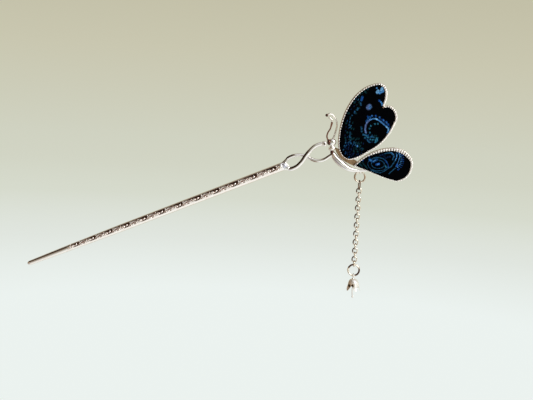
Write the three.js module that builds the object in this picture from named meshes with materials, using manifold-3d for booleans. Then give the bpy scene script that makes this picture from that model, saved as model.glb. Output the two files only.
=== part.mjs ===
// Butterfly hair stick: an engraved tapering stick, a neck of two twisted strands, a butterfly seen from
// its side with two cloth-filled wings, and a fine link chain that ends in a small bellflower charm.
//
// Millimetres, +Z up. The origin is on the stick's axis at the grip point, where the hair holds it. The
// butterfly lies in the XZ plane and faces -Y, and the chain hangs straight down from under its tail.
import * as THREE from "three";
import { mergeVertices } from "three/addons/utils/BufferGeometryUtils.js";
import Module from "manifold-3d";

const wasm = await Module();
wasm.setup();

// ---- Driving dimensions ---------------------------------------------------------------------------

const FIT_GAP = 0.3; // left between neighbouring pieces that are soldered or pressed together
const LINK_PLAY = 0.1; // left between two wires that hang on each other

const STICK_SLOPE = THREE.MathUtils.degToRad(24.35); // the stick climbs from its tip to the butterfly
const STICK_BELOW_GRIP = 45; // tip to grip point
const STICK_ABOVE_GRIP = 82; // grip point to the fork
const STICK_TIP_RADIUS = 1.0;
const STICK_GRIP_RADIUS = 1.68;
const STICK_NECK_RADIUS = 1.9;
const FORK_RADIUS = 2.4;
const FORK_LENGTH = 4;

const STRAND_OVER_RADIUS = 1.0;
const STRAND_UNDER_RADIUS = 0.8;
const STRAND_OFFSET = 1.25; // how far the strands pass in front of and behind the stick's plane
const STRAND_START = STICK_ABOVE_GRIP + 0.8; // the strands leave the fork at a slant, clear of its face

const STRAND_BALL = { radius: 1.1, x: 92.4, y: -0.35, z: 45.05 };
const HEAD = { radius: 1.55, x: 95.5, y: 0, z: 45.8 };
const THORAX = { radius: 1.15, x: 96.2, y: 0, z: 42.8 };
const ABDOMEN_RADIUS = 1.5;
const ANTENNA_RADIUS = 0.32;
const ANTENNA_BEAD_RADIUS = 0.62;

const WING_ORIGIN = new THREE.Vector3(96, 0, 42); // both wing outlines are drawn from here
const WING_LEAN = THREE.MathUtils.degToRad(5); // the wings lean forward, turned about the stick's direction
const WING_BACK = 1.6; // from the wings' middle plane to their flat backs
const PLATE_THICKNESS = 0.8;
const BEZEL_DEPTH = 1.7;
const BEZEL_WALL = 0.8;
const PAD_DEPTH = 0.95;
const CLOTH_THICKNESS = 0.35;

const CHAIN_X = 109.9;
const CHAIN_Y = 2.0; // the chain hangs just behind the butterfly's plane
const EYELET = { ring: 0.85, wire: 0.28 };
const EYELET_BOTTOM_Z = 32.15;
const JUMP_RING = { ring: 2.36, wire: 0.4 };
const LOWER_RING = { ring: 2.56, wire: 0.41 };
const LINK_COUNT = 19;
const LINK = { width: 1.08, height: 1.32, wire: 0.275 };
const TOP_LINK = { width: 1.15, height: 2.1, wire: 0.275 };

const CHARM_LOOP = { ring: 0.9, wire: 0.27 };
const BELL_RADIUS = 2.75;
const BELL_HEIGHT = 4.3;
const BELL_SHELL = 0.45;
const BELL_CROWN_HOLE = 0.62;
const PETALS = 5;
const PETAL_FLARE = 0.55; // how far a petal's tip stands out
const PETAL_DROP = 0.9; // how far a petal's tip hangs below the mean lip
const STAMEN_LENGTH = 9.6;

// ---- Materials ------------------------------------------------------------------------------------

const metal = (color, roughness) => () =>
  new THREE.MeshStandardMaterial({ color, roughness, metalness: 1 });
const soft = (color, roughness) => () =>
  new THREE.MeshStandardMaterial({ color, roughness, metalness: 0 });

const polishedSilver = metal(0xdcdcd8, 0.18);
const castSilver = metal(0xb4b1a8, 0.38);
const cutSilver = metal(0xd6d4cc, 0.28);
const brushedSilver = metal(0xb9b7b0, 0.42);
const darkCloth = soft(0x0a0d16, 0.85);
const padFelt = soft(0x55504a, 0.95);

// ---- Shape helpers --------------------------------------------------------------------------------

const at = (x, y, z) => new THREE.Vector3(x, y, z);

function named(name, geometry, material) {
  const mesh = new THREE.Mesh(geometry, material());
  mesh.name = name;
  return mesh;
}

// A wire of one thickness along a curve.
function wireAlong(points, radius, steps) {
  const section = new THREE.Shape().absarc(0, 0, radius, 0, 2 * Math.PI);
  const extrudePath = new THREE.CatmullRomCurve3(points, false, "centripetal");
  return new THREE.ExtrudeGeometry(section, { extrudePath, steps, curveSegments: 5 });
}

// A turned profile of (radius, distance along) points, bent along a curve that stays near the XZ plane.
function turnedAlong(points, profile, sides) {
  const curve = new THREE.CatmullRomCurve3(points, false, "centripetal");
  const length = curve.getLength();
  const geometry = new THREE.LatheGeometry(profile(length), sides);
  const position = geometry.getAttribute("position");
  const across = new THREE.Vector3();
  for (let i = 0; i < position.count; i++) {
    const along = THREE.MathUtils.clamp(position.getY(i) / length, 0, 1);
    const tangent = curve.getTangentAt(along);
    const depth = at(0, 1, 0).addScaledVector(tangent, -tangent.y).normalize();
    across.crossVectors(tangent, depth);
    const place = curve
      .getPointAt(along)
      .addScaledVector(across, position.getX(i))
      .addScaledVector(depth, position.getZ(i));
    position.setXYZ(i, place.x, place.y, place.z);
  }
  geometry.computeVertexNormals();
  return geometry;
}

// A ring of round wire in its own XY plane, drawn out to an oval when height differs from width.
function wireRing({ width, height, wire }, around) {
  const geometry = new THREE.TorusGeometry(width, wire, 8, around);
  const position = geometry.getAttribute("position");
  for (let i = 0; i < position.count; i++) {
    const turn = Math.atan2(position.getY(i), position.getX(i));
    position.setY(i, position.getY(i) + (height - width) * Math.sin(turn));
  }
  return geometry;
}

const roundRing = ({ ring, wire }, around) => wireRing({ width: ring, height: ring, wire }, around);

// A slab of the given outline, lying in the XZ plane from y = back forward to y = back - depth.
function slab(shape, back, depth) {
  const geometry = new THREE.ExtrudeGeometry(shape, { depth, bevelEnabled: false });
  return geometry.rotateX(Math.PI / 2).translate(0, back, 0);
}

// The outline moved inwards by a distance, leaving out the corners that the move would fold over.
function inset(points, distance) {
  const centre = (i) => points[(i + points.length) % points.length];
  const moved = points.map((point, i) => {
    const along = centre(i + 1).clone().sub(centre(i - 1)).normalize();
    return new THREE.Vector2(point.x - along.y * distance, point.y + along.x * distance);
  });
  const clear = (p) => points.every((q) => q.distanceTo(p) > 0.97 * distance);
  return moved.filter(clear);
}

function toManifold(geometry) {
  const bare = geometry.clone().deleteAttribute("normal").deleteAttribute("uv");
  const merged = mergeVertices(bare, 1e-4);
  const vertProperties = merged.getAttribute("position").array;
  return new wasm.Manifold(
    new wasm.Mesh({ numProp: 3, vertProperties, triVerts: new Uint32Array(merged.index.array) }),
  );
}

function fromManifold(solid) {
  const { vertProperties, triVerts } = solid.getMesh();
  const geometry = new THREE.BufferGeometry();
  geometry.setAttribute("position", new THREE.BufferAttribute(vertProperties, 3));
  geometry.setIndex(new THREE.BufferAttribute(triVerts, 1));
  return geometry;
}

// One solid out of geometries that run into each other.
const joined = (geometries) => fromManifold(geometries.map(toManifold).reduce((a, b) => a.add(b)));

// ---- Stick and neck -------------------------------------------------------------------------------

// A round solid on the stick's axis, from its (radius, along) profile.
function turnedOnStick(name, profile) {
  const points = profile.map(([radius, along]) => new THREE.Vector2(radius, along));
  const solid = named(name, new THREE.LatheGeometry(points, 24), castSilver);
  solid.rotation.z = STICK_SLOPE - Math.PI / 2;
  const upright = new THREE.Group();
  upright.rotation.x = Math.PI / 2;
  upright.add(solid);
  return upright;
}

function stickShaft() {
  const end = STICK_ABOVE_GRIP - FORK_LENGTH;
  return turnedOnStick("stick_shaft", [
    [0, -STICK_BELOW_GRIP],
    [0.6 * STICK_TIP_RADIUS, -STICK_BELOW_GRIP + 0.2],
    [STICK_TIP_RADIUS, -STICK_BELOW_GRIP + 1.2],
    [0.5 * (STICK_TIP_RADIUS + STICK_GRIP_RADIUS), -0.6 * STICK_BELOW_GRIP],
    [STICK_GRIP_RADIUS, 0],
    [STICK_NECK_RADIUS, end],
    [0, end],
  ]);
}

// The collar that the two strands grow out of.
function stickFork() {
  const start = STICK_ABOVE_GRIP - FORK_LENGTH + FIT_GAP;
  return turnedOnStick("stick_fork", [
    [0, start],
    [STICK_NECK_RADIUS, start],
    [FORK_RADIUS, STICK_ABOVE_GRIP - 0.25 * FORK_LENGTH],
    [FORK_RADIUS, STICK_ABOVE_GRIP],
    [0, STICK_ABOVE_GRIP],
  ]);
}

// A point beside the stick's axis, in the stick's own directions.
function besideStick(along, above, y) {
  const c = Math.cos(STICK_SLOPE);
  const s = Math.sin(STICK_SLOPE);
  return at(along * c - above * s, y, along * s + above * c);
}

const strandOver = () =>
  named(
    "neck_strand_over",
    wireAlong(
      [
        besideStick(STRAND_START, -1.35, -0.2),
        at(77.6, -0.45, 32.5),
        at(80.4, -0.9, 33.75),
        at(82.5, -STRAND_OFFSET, 35.95),
        at(84.1, -STRAND_OFFSET, 38.6),
        at(85.8, -STRAND_OFFSET, 41.1),
        at(88.2, -0.8, 43.6),
        at(90.93, -0.35, 44.9),
      ],
      STRAND_OVER_RADIUS,
      24,
    ),
    polishedSilver,
  );

const strandUnder = () =>
  named(
    "neck_strand_under",
    wireAlong(
      [
        besideStick(STRAND_START, 1.4, 0.2),
        at(76.5, 0.4, 37.5),
        at(79.4, 0.6, 38.8),
        at(82.5, 0.85, 39.05),
        at(85.5, 0.85, 38.2),
        at(89, 0.5, 37.1),
        at(92.4, 0.2, 37.5),
        at(95.7, 0, 39.8),
      ],
      STRAND_UNDER_RADIUS,
      24,
    ),
    polishedSilver,
  );

// ---- Butterfly body -------------------------------------------------------------------------------

function ball(name, { radius, x, y, z }) {
  const mesh = named(name, new THREE.SphereGeometry(radius, 16, 10), polishedSilver);
  mesh.position.set(x, y, z);
  return mesh;
}

// The abdomen is fattest a third of the way down and runs out to a fine tail that curls up.
function abdomen() {
  const radiusAt = (share) => ABDOMEN_RADIUS * Math.sin(Math.PI * share ** 0.55) ** 0.8;
  const profile = (length) => {
    const points = [new THREE.Vector2(0, 0)];
    for (let i = 1; i < 12; i++) {
      points.push(new THREE.Vector2(radiusAt(i / 12) + 0.12, (length * i) / 12));
    }
    points.push(new THREE.Vector2(0, length));
    return points;
  };
  const path = [
    at(96.6, 0, 41.25),
    at(98.5, 0, 38.4),
    at(101.2, 0, 36.2),
    at(104.1, -0.1, 34.4),
    at(107.4, -0.2, 33.6),
    at(112.6, -0.2, 33.7),
  ];
  return named("abdomen", turnedAlong(path, profile, 16), polishedSilver);
}

// An antenna is a wire with a bead melted on its far end; its path starts at the head.
function antenna(name, path) {
  const bead = ANTENNA_BEAD_RADIUS;
  const neck = Math.sqrt(bead ** 2 - ANTENNA_RADIUS ** 2);
  const profile = (length) => {
    const points = [new THREE.Vector2(0, 0), new THREE.Vector2(ANTENNA_RADIUS, 0)];
    const steps = 16;
    for (let i = 1; i <= steps; i++) {
      points.push(new THREE.Vector2(ANTENNA_RADIUS, ((length - bead - neck) * i) / steps));
    }
    const start = Math.asin(ANTENNA_RADIUS / bead);
    for (let i = 1; i <= 6; i++) {
      const turn = start + ((Math.PI - start) * i) / 6;
      const radius = i === 6 ? 0 : bead * Math.sin(turn);
      points.push(new THREE.Vector2(radius, length - bead - bead * Math.cos(turn)));
    }
    return points;
  };
  return named(name, turnedAlong(path, profile, 8), polishedSilver);
}

const antennaFront = () =>
  antenna("antenna_front", [
    at(96.3, -0.2, 47.5),
    at(97.0, 0.2, 49.4),
    at(97.5, 0.6, 51.6),
    at(97.8, 0.6, 53.6),
    at(97.4, 0.5, 55.8),
    at(96.1, 0.3, 57.7),
    at(94.4, 0.1, 58.8),
    at(92.8, 0, 58.0),
  ]);

const antennaRear = () =>
  antenna("antenna_rear", [
    at(94.0, 0.5, 46.95),
    at(93.5, 0.5, 48.4),
    at(93.9, 0.5, 50.3),
    at(94.8, 0.5, 52.0),
    at(95.4, 0.5, 53.6),
    at(95.4, 0.5, 55.5),
    at(94.5, 0.5, 56.6),
    at(93.0, 0.5, 56.2),
  ]);

// ---- Wings ----------------------------------------------------------------------------------------

// The fore wing, anticlockwise from its tip: a full front edge, a rounded root, and a lobed hind edge
// with a notch.
function upperWingOutline() {
  const shape = new THREE.Shape();
  shape.moveTo(19.8, 32.2);
  shape.bezierCurveTo(7.8, 30.7, 2.4, 15.9, 2.7, 4.7);
  shape.bezierCurveTo(2.5, 1.0, 4.6, -3.6, 8.9, -3.6);
  shape.bezierCurveTo(12.6, -3.2, 15.2, -0.5, 18.3, 1.1);
  shape.bezierCurveTo(23.2, 4.5, 26.8, 9.0, 28.6, 15.0);
  shape.bezierCurveTo(30.4, 17.5, 27.1, 24.4, 22.5, 21.6);
  shape.bezierCurveTo(24.7, 26.4, 23.9, 32.0, 19.8, 32.2);
  return shape.getPoints(8).slice(0, -1);
}

// The hind wing, anticlockwise from its point: a long teardrop with a full round end.
function lowerWingOutline() {
  const shape = new THREE.Shape();
  shape.moveTo(10.5, -6.4);
  shape.bezierCurveTo(17.8, -8.2, 24.3, -11.6, 31.0, -12.5);
  shape.bezierCurveTo(35.4, -12.3, 37.9, -8.3, 37.9, -4.6);
  shape.bezierCurveTo(37.8, 0.9, 31.7, 3.7, 26.8, 2.8);
  shape.bezierCurveTo(20.6, 2.3, 14.8, -1.3, 10.5, -6.4);
  return shape.getPoints(9).slice(0, -1);
}

// A wing, from back to front: sheet back plate, serrated bezel wall, felt pad and printed cloth.
function wing(name, outline) {
  const wallFront = WING_BACK - PLATE_THICKNESS - FIT_GAP;
  const innerEdge = inset(outline, BEZEL_WALL);
  const padEdge = inset(outline, BEZEL_WALL + FIT_GAP);
  const wall = new THREE.Shape(outline);
  wall.holes.push(new THREE.Path(innerEdge));
  return [
    named(
      `${name}_back_plate`,
      slab(new THREE.Shape(outline), WING_BACK, PLATE_THICKNESS),
      brushedSilver,
    ),
    named(`${name}_bezel`, slab(wall, wallFront, BEZEL_DEPTH), cutSilver),
    named(`${name}_pad`, slab(new THREE.Shape(padEdge), wallFront, PAD_DEPTH), padFelt),
    named(
      `${name}_cloth`,
      slab(new THREE.Shape(padEdge), wallFront - PAD_DEPTH - FIT_GAP, CLOTH_THICKNESS),
      darkCloth,
    ),
  ];
}

// The small web that ties the wings' roots to the abdomen, lying between their outlines.
function wingRootWeb() {
  const outline = [
    [2.1, 0.2],
    [3.0, -2.1],
    [6.2, -4.4],
    [9.3, -5.6],
    [9.5, -4.7],
    [6.2, -3.9],
    [3.9, -2.1],
    [2.7, 0.4],
  ];
  const shape = new THREE.Shape(outline.map(([x, z]) => new THREE.Vector2(x, z)));
  return named("wing_root_web", slab(shape, WING_BACK, PLATE_THICKNESS), brushedSilver);
}

// Both wings and the web between their roots lean forward together.
function wings() {
  const group = new THREE.Group();
  const alongStick = at(Math.cos(STICK_SLOPE), 0, Math.sin(STICK_SLOPE));
  group.quaternion.setFromAxisAngle(alongStick, WING_LEAN);
  group.position.copy(WING_ORIGIN);
  group.add(
    ...wing("upper_wing", upperWingOutline()),
    ...wing("lower_wing", lowerWingOutline()),
    wingRootWeb(),
  );
  return group;
}

// ---- Chain ----------------------------------------------------------------------------------------

const FACE_ON = new THREE.Euler(Math.PI / 2, 0, 0); // the ring's plane is XZ
const EDGE_ON = new THREE.Euler(Math.PI / 2, Math.PI / 2, 0); // the ring's plane is YZ

// The pivot of a hung piece is the middle of the wire it hangs on. Each piece's group sits at that
// pivot, and holds the piece and the group of the next one.
function hang(pivot, wireAbove, mesh, halfHeight, wire, facing) {
  mesh.rotation.copy(facing);
  mesh.position.z = wireAbove + LINK_PLAY + wire - halfHeight;
  pivot.add(mesh);
  const next = new THREE.Group();
  next.position.z = mesh.position.z - halfHeight;
  pivot.add(next);
  return next;
}

// Five pointed petals: the lip's tips stand out and hang down, more so the nearer the lip.
function petalled(geometry) {
  const position = geometry.getAttribute("position");
  for (let i = 0; i < position.count; i++) {
    const x = position.getX(i);
    const y = position.getY(i);
    const z = position.getZ(i);
    const radius = Math.hypot(x, z);
    const wave = Math.cos(PETALS * Math.atan2(z, x));
    const reach = (-y / BELL_HEIGHT) ** 2;
    const scale = 1 + (PETAL_FLARE * wave * reach) / Math.max(radius, 1);
    position.setXYZ(i, x * scale, y - PETAL_DROP * wave * reach, z * scale);
  }
  geometry.computeVertexNormals();
  return geometry;
}

// The bell's crown is at y = 0 and its mouth points down.
function bellflowerCap() {
  const shell = [
    [BELL_CROWN_HOLE, 0],
    [BELL_CROWN_HOLE, -BELL_SHELL],
    [0.52 * BELL_RADIUS, -0.22 * BELL_HEIGHT],
    [0.74 * BELL_RADIUS, -0.62 * BELL_HEIGHT],
    [BELL_RADIUS - 0.2, -BELL_HEIGHT],
    [BELL_RADIUS + 0.15, -BELL_HEIGHT],
    [0.92 * BELL_RADIUS, -0.6 * BELL_HEIGHT],
    [0.7 * BELL_RADIUS, -0.16 * BELL_HEIGHT],
    [0.42 * BELL_RADIUS, 0],
    [BELL_CROWN_HOLE, 0],
  ];
  const points = shell.map(([radius, y]) => new THREE.Vector2(radius, y));
  const geometry = petalled(new THREE.LatheGeometry(points, 30));
  return named("bellflower_cap", geometry.rotateX(Math.PI / 2), polishedSilver);
}

// The charm's pin: a loop above, and a shank that runs down through the bell and ends as its stamen.
function charmPin() {
  const loop = roundRing(CHARM_LOOP, 16).rotateX(Math.PI / 2).rotateZ(Math.PI / 2);
  const stamen = [
    [0, -CHARM_LOOP.ring - STAMEN_LENGTH],
    [0.42, -CHARM_LOOP.ring - STAMEN_LENGTH + 0.35],
    [0.42, -CHARM_LOOP.ring - STAMEN_LENGTH + 1.1],
    [CHARM_LOOP.wire, -CHARM_LOOP.ring - STAMEN_LENGTH + 1.8],
    [CHARM_LOOP.wire, -CHARM_LOOP.ring],
    [0, -CHARM_LOOP.ring],
  ];
  const points = stamen.map(([radius, y]) => new THREE.Vector2(radius, y));
  const shank = new THREE.LatheGeometry(points, 10).rotateX(Math.PI / 2);
  return named("charm_pin", joined([loop, shank]), polishedSilver);
}

function hangingChain() {
  const top = new THREE.Group();
  top.position.set(CHAIN_X, CHAIN_Y, EYELET_BOTTOM_Z);
  const eyelet = named("chain_eyelet", roundRing(EYELET, 16), polishedSilver);
  eyelet.rotation.copy(EDGE_ON);
  eyelet.position.z = EYELET.ring;
  top.add(eyelet);

  const upperRing = named("upper_jump_ring", roundRing(JUMP_RING, 24), polishedSilver);
  let pivot = hang(top, EYELET.wire, upperRing, JUMP_RING.ring, JUMP_RING.wire, FACE_ON);
  let wireAbove = JUMP_RING.wire;
  for (let i = 1; i <= LINK_COUNT; i++) {
    const size = i === 1 ? TOP_LINK : LINK;
    const name = `chain_link_${String(i).padStart(2, "0")}`;
    const link = named(name, wireRing(size, 16), polishedSilver);
    pivot = hang(pivot, wireAbove, link, size.height, size.wire, i % 2 ? EDGE_ON : FACE_ON);
    wireAbove = size.wire;
  }
  const lowerRing = named("lower_jump_ring", roundRing(LOWER_RING, 24), polishedSilver);
  pivot = hang(pivot, wireAbove, lowerRing, LOWER_RING.ring, LOWER_RING.wire, FACE_ON);

  const charm = new THREE.Group();
  charm.position.z = LOWER_RING.wire + LINK_PLAY + CHARM_LOOP.wire - CHARM_LOOP.ring;
  const cap = bellflowerCap();
  cap.position.z = -CHARM_LOOP.ring - CHARM_LOOP.wire - FIT_GAP;
  charm.add(charmPin(), cap);
  pivot.add(charm);
  return top;
}

// ---- Assembly -------------------------------------------------------------------------------------

const hairStick = new THREE.Group();
hairStick.add(
  stickShaft(),
  stickFork(),
  strandOver(),
  strandUnder(),
  ball("strand_end_ball", STRAND_BALL),
  ball("butterfly_head", HEAD),
  ball("thorax", THORAX),
  abdomen(),
  antennaFront(),
  antennaRear(),
  wings(),
  hangingChain(),
);

export default hairStick;
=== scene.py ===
"""Looks of a butterfly hair stick: an engraved silver stick, a neck of two twisted strands, a butterfly
with two cloth-filled wings, and a link chain with a bellflower charm. Lengths are millimetres until they
are put in a mesh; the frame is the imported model's, with the origin on the stick's axis at the grip point."""

import math

import bmesh
import bpy
import numpy as np
from mathutils import Matrix, Vector
from mathutils.geometry import delaunay_2d_cdt


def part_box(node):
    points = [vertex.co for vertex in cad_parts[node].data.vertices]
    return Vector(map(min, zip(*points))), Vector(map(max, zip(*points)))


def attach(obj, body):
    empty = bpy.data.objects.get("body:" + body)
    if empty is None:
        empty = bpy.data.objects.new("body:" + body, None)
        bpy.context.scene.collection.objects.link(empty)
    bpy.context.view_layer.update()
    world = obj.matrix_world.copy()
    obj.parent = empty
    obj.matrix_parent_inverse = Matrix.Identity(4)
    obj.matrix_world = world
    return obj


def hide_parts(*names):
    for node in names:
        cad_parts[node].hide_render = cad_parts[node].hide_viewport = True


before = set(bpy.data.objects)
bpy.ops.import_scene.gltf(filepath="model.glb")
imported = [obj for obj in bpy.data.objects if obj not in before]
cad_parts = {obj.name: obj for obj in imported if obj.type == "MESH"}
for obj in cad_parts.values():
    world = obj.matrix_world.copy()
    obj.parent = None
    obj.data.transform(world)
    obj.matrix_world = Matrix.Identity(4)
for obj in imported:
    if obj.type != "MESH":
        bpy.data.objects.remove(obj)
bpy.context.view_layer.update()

MM = 0.001
X_AXIS, Y_AXIS, Z_AXIS = np.eye(3)

# ---- Driving dimensions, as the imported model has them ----

STICK_SLOPE = math.radians(24.35)
ALONG = np.array([math.cos(STICK_SLOPE), 0, math.sin(STICK_SLOPE)])
ABOVE = np.array([-math.sin(STICK_SLOPE), 0, math.cos(STICK_SLOPE)])
STICK_BELOW_GRIP = 45
STRAND_OVER_RADIUS = 1.0
STRAND_UNDER_RADIUS = 0.8

WING_ORIGIN = np.array([96.0, 0, 42.0])
WING_LEAN = math.radians(5)
PLATE_FRONT, PLATE_BACK = 0.8, 1.6  # wing-local depths; the viewer's side is negative
BEZEL_FRONT = -1.2

# ---- Mesh helpers ----


def piece(name, verts, faces, material, body, stands_for=(), slot="polished_silver", marks=None):
    """A closed mesh from vertices in millimetres, riding on a body. marks are values kept at its vertices."""
    mesh = bpy.data.meshes.new(name)
    mesh.from_pydata((np.asarray(verts, dtype=float) * MM).tolist(), [], faces)
    for label, values in (marks or {}).items():
        kind, field = ("FLOAT", "value") if np.ndim(values) == 1 else ("FLOAT_COLOR", "color")
        layer = mesh.attributes.new(label, kind, "POINT")
        layer.data.foreach_set(field, np.asarray(values, dtype=np.float32).ravel())
    outward(mesh)
    return placed(name, mesh, material, body, stands_for)


def outward(mesh):
    work = bmesh.new()
    work.from_mesh(mesh)
    bmesh.ops.recalc_face_normals(work, faces=work.faces)
    work.to_mesh(mesh)
    work.free()
    mesh.shade_smooth()


def placed(name, mesh, material, body, stands_for=()):
    mesh.materials.clear()
    mesh.materials.append(material)
    obj = bpy.data.objects.new(name, mesh)
    bpy.context.scene.collection.objects.link(obj)
    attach(obj, body)
    if stands_for:
        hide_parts(*stands_for)
    return obj


def grid_faces(rows, columns, closed=False):
    """Four-sided faces of a grid whose columns run round; its rows do too when it is closed."""
    row = np.arange(rows if closed else rows - 1)[:, None]
    column = np.arange(columns)[None, :]
    start, next_start = row * columns, (row + 1) % rows * columns
    beside = (column + 1) % columns
    corners = [start + column, start + beside, next_start + beside, next_start + column]
    return np.stack(corners, axis=-1).reshape(-1, 4).tolist()


def pointed_tube(rows, columns):
    """Faces of a tube of rings whose ends close in two points, which come after the rings."""
    faces = grid_faces(rows, columns)
    count, last = rows * columns, (rows - 1) * columns
    for side in range(columns):
        beside = (side + 1) % columns
        faces.append([count, beside, side])
        faces.append([count + 1, last + side, last + beside])
    return faces


def lidded_tube(rows, columns):
    """Faces of a tube of rings that one flat face closes at each end."""
    count = rows * columns
    return grid_faces(rows, columns) + [list(range(columns)), list(range(count - columns, count))]


def turns(count):
    """Evenly spaced angles of one whole turn."""
    return np.arange(count) * 2 * math.pi / count


def smooth_step(low, high, value):
    share = np.clip((value - low) / (high - low), 0, 1)
    return share * share * (3 - 2 * share)


def unit(vectors):
    return vectors / np.maximum(np.linalg.norm(vectors, axis=-1, keepdims=True), 1e-12)


def run_along(points):
    """How far along a line each of its points is."""
    return np.concatenate([[0], np.cumsum(np.linalg.norm(np.diff(points, axis=0), axis=1))])


def points_at(stations, points):
    """The points at given distances along a line."""
    run = run_along(points)
    return np.stack([np.interp(stations, run, column) for column in points.T], axis=1)


def smooth_path(points, step):
    """Evenly spaced points on the centripetal Catmull-Rom curve through the given points."""
    points = np.asarray(points, dtype=float)
    ends = np.vstack([2 * points[0] - points[1], points, 2 * points[-1] - points[-2]])
    fine = []
    for a, b, c, d in zip(ends, ends[1:], ends[2:], ends[3:]):
        gaps = [math.sqrt(np.linalg.norm(q - p)) for p, q in ((a, b), (b, c), (c, d))]
        knots = np.cumsum([0] + gaps)
        t = np.linspace(knots[1], knots[2], 24, endpoint=False)[:, None]

        def blend(first, second, start, end):
            return ((knots[end] - t) * first + (t - knots[start]) * second) / (knots[end] - knots[start])

        ab, bc, cd = blend(a, b, 0, 1), blend(b, c, 1, 2), blend(c, d, 2, 3)
        fine.append(blend(blend(ab, bc, 0, 2), blend(bc, cd, 1, 3), 1, 2))
    fine = np.vstack([*fine, points[-1:]])
    length = run_along(fine)[-1]
    return points_at(np.linspace(0, length, max(4, int(length / step))), fine)


def ways_out(path, sides, flat=1.0, flat_axis=Y_AXIS):
    """For each point of a path, the directions of a ring round it; flat scales them along flat_axis."""
    tangents = unit(np.gradient(path, axis=0))
    depth = unit(flat_axis - (tangents @ flat_axis)[:, None] * tangents)
    across = np.cross(tangents, depth)
    depth = depth * np.broadcast_to(flat, len(path))[:, None]
    turn = turns(sides)[None, :, None]
    return np.cos(turn) * across[:, None] + np.sin(turn) * depth[:, None]


def sweep(path, radii, sides=20, flat=1.0, flat_axis=Y_AXIS):
    """A closed bar along a path, with a point at each end. Its thickness along flat_axis is flat times
    the radius."""
    ring = ways_out(path, sides, flat, flat_axis)
    rings = path[1:-1, None] + radii[1:-1, None, None] * ring[1:-1]
    verts = np.vstack([rings.reshape(-1, 3), path[:1], path[-1:]])
    return verts, pointed_tube(len(path) - 2, sides)


def round_ended(points, radius_at, step=0.25):
    """(path, radii) of a bar along a smooth path, with domed ends. radius_at takes the share of its
    length."""
    path = smooth_path(points, 0.05)
    length = run_along(path)[-1]
    dome = np.linspace(0, math.pi / 2, 8)
    head = radius_at(0.0) * (1 - np.cos(dome))
    tail = length - radius_at(1.0) * (1 - np.cos(dome[::-1]))
    inner = np.linspace(head[-1], tail[0], max(4, int((tail[0] - head[-1]) / step)))[1:-1]
    stations = np.concatenate([head, inner, tail])
    fall = np.concatenate([np.sin(dome), np.ones(len(inner)), np.sin(dome[::-1])])
    radii = np.array([radius_at(s / length) for s in stations]) * fall
    return points_at(stations, path), radii


def merged(shapes):
    """One list of vertices and faces out of several."""
    verts, faces, start = [], [], 0
    for some_verts, some_faces in shapes:
        verts.append(some_verts)
        faces.extend([[corner + start for corner in face] for face in some_faces])
        start += len(some_verts)
    return np.vstack(verts), faces


def fused(name, shapes, voxel, rounds, material, body, stands_for=()):
    """Shapes that run into each other, melted into one skin and smoothed, as solder does."""
    verts, faces = merged(shapes)
    mesh = bpy.data.meshes.new(name + "_raw")
    mesh.from_pydata((verts * MM).tolist(), [], faces)
    outward(mesh)
    raw = bpy.data.objects.new(name + "_raw", mesh)
    bpy.context.scene.collection.objects.link(raw)
    remesh = raw.modifiers.new("skin", "REMESH")
    remesh.mode = "VOXEL"
    remesh.voxel_size = voxel * MM
    soften = raw.modifiers.new("soften", "SMOOTH")
    soften.factor = 0.5
    soften.iterations = rounds
    evaluated = raw.evaluated_get(bpy.context.evaluated_depsgraph_get())
    skin = bpy.data.meshes.new_from_object(evaluated)
    skin.name = name
    bpy.data.objects.remove(raw)
    bpy.data.meshes.remove(mesh)
    skin.shade_smooth()
    return placed(name, skin, material, body, stands_for)


def blob(centre, half, power=2.0, rows=20, sides=28, tilt=0.0):
    """An ellipsoid with half sizes along x, y and z, tilted in the XZ plane; a power over 2 squares it."""
    down, turn = np.meshgrid(np.linspace(0, math.pi, rows)[1:-1], turns(sides), indexing="ij")
    direction = np.stack([np.sin(down) * np.cos(turn), np.sin(down) * np.sin(turn), np.cos(down)], axis=-1)
    direction = np.vstack([direction.reshape(-1, 3), Z_AXIS, -Z_AXIS])
    scale = (np.abs(direction) ** power).sum(axis=1) ** (-1 / power)
    x, y, z = (direction * scale[:, None] * half).T
    c, s = math.cos(tilt), math.sin(tilt)
    turned = np.stack([x * c - z * s, y, x * s + z * c], axis=1)
    return turned + centre, pointed_tube(rows - 2, sides)


def distance_to(points, x, z):
    """How far each (x, z) is from the line through the points."""
    nearest = np.full(len(x), np.inf)
    points = np.asarray(points, dtype=float)
    if len(points) == 1:
        return np.hypot(x - points[0, 0], z - points[0, 1])
    for (ax, az), (bx, bz) in zip(points, points[1:]):
        dx, dz = bx - ax, bz - az
        share = np.clip(((x - ax) * dx + (z - az) * dz) / (dx * dx + dz * dz), 0, 1)
        nearest = np.minimum(nearest, np.hypot(x - ax - share * dx, z - az - share * dz))
    return nearest


# ---- Materials ----


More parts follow.
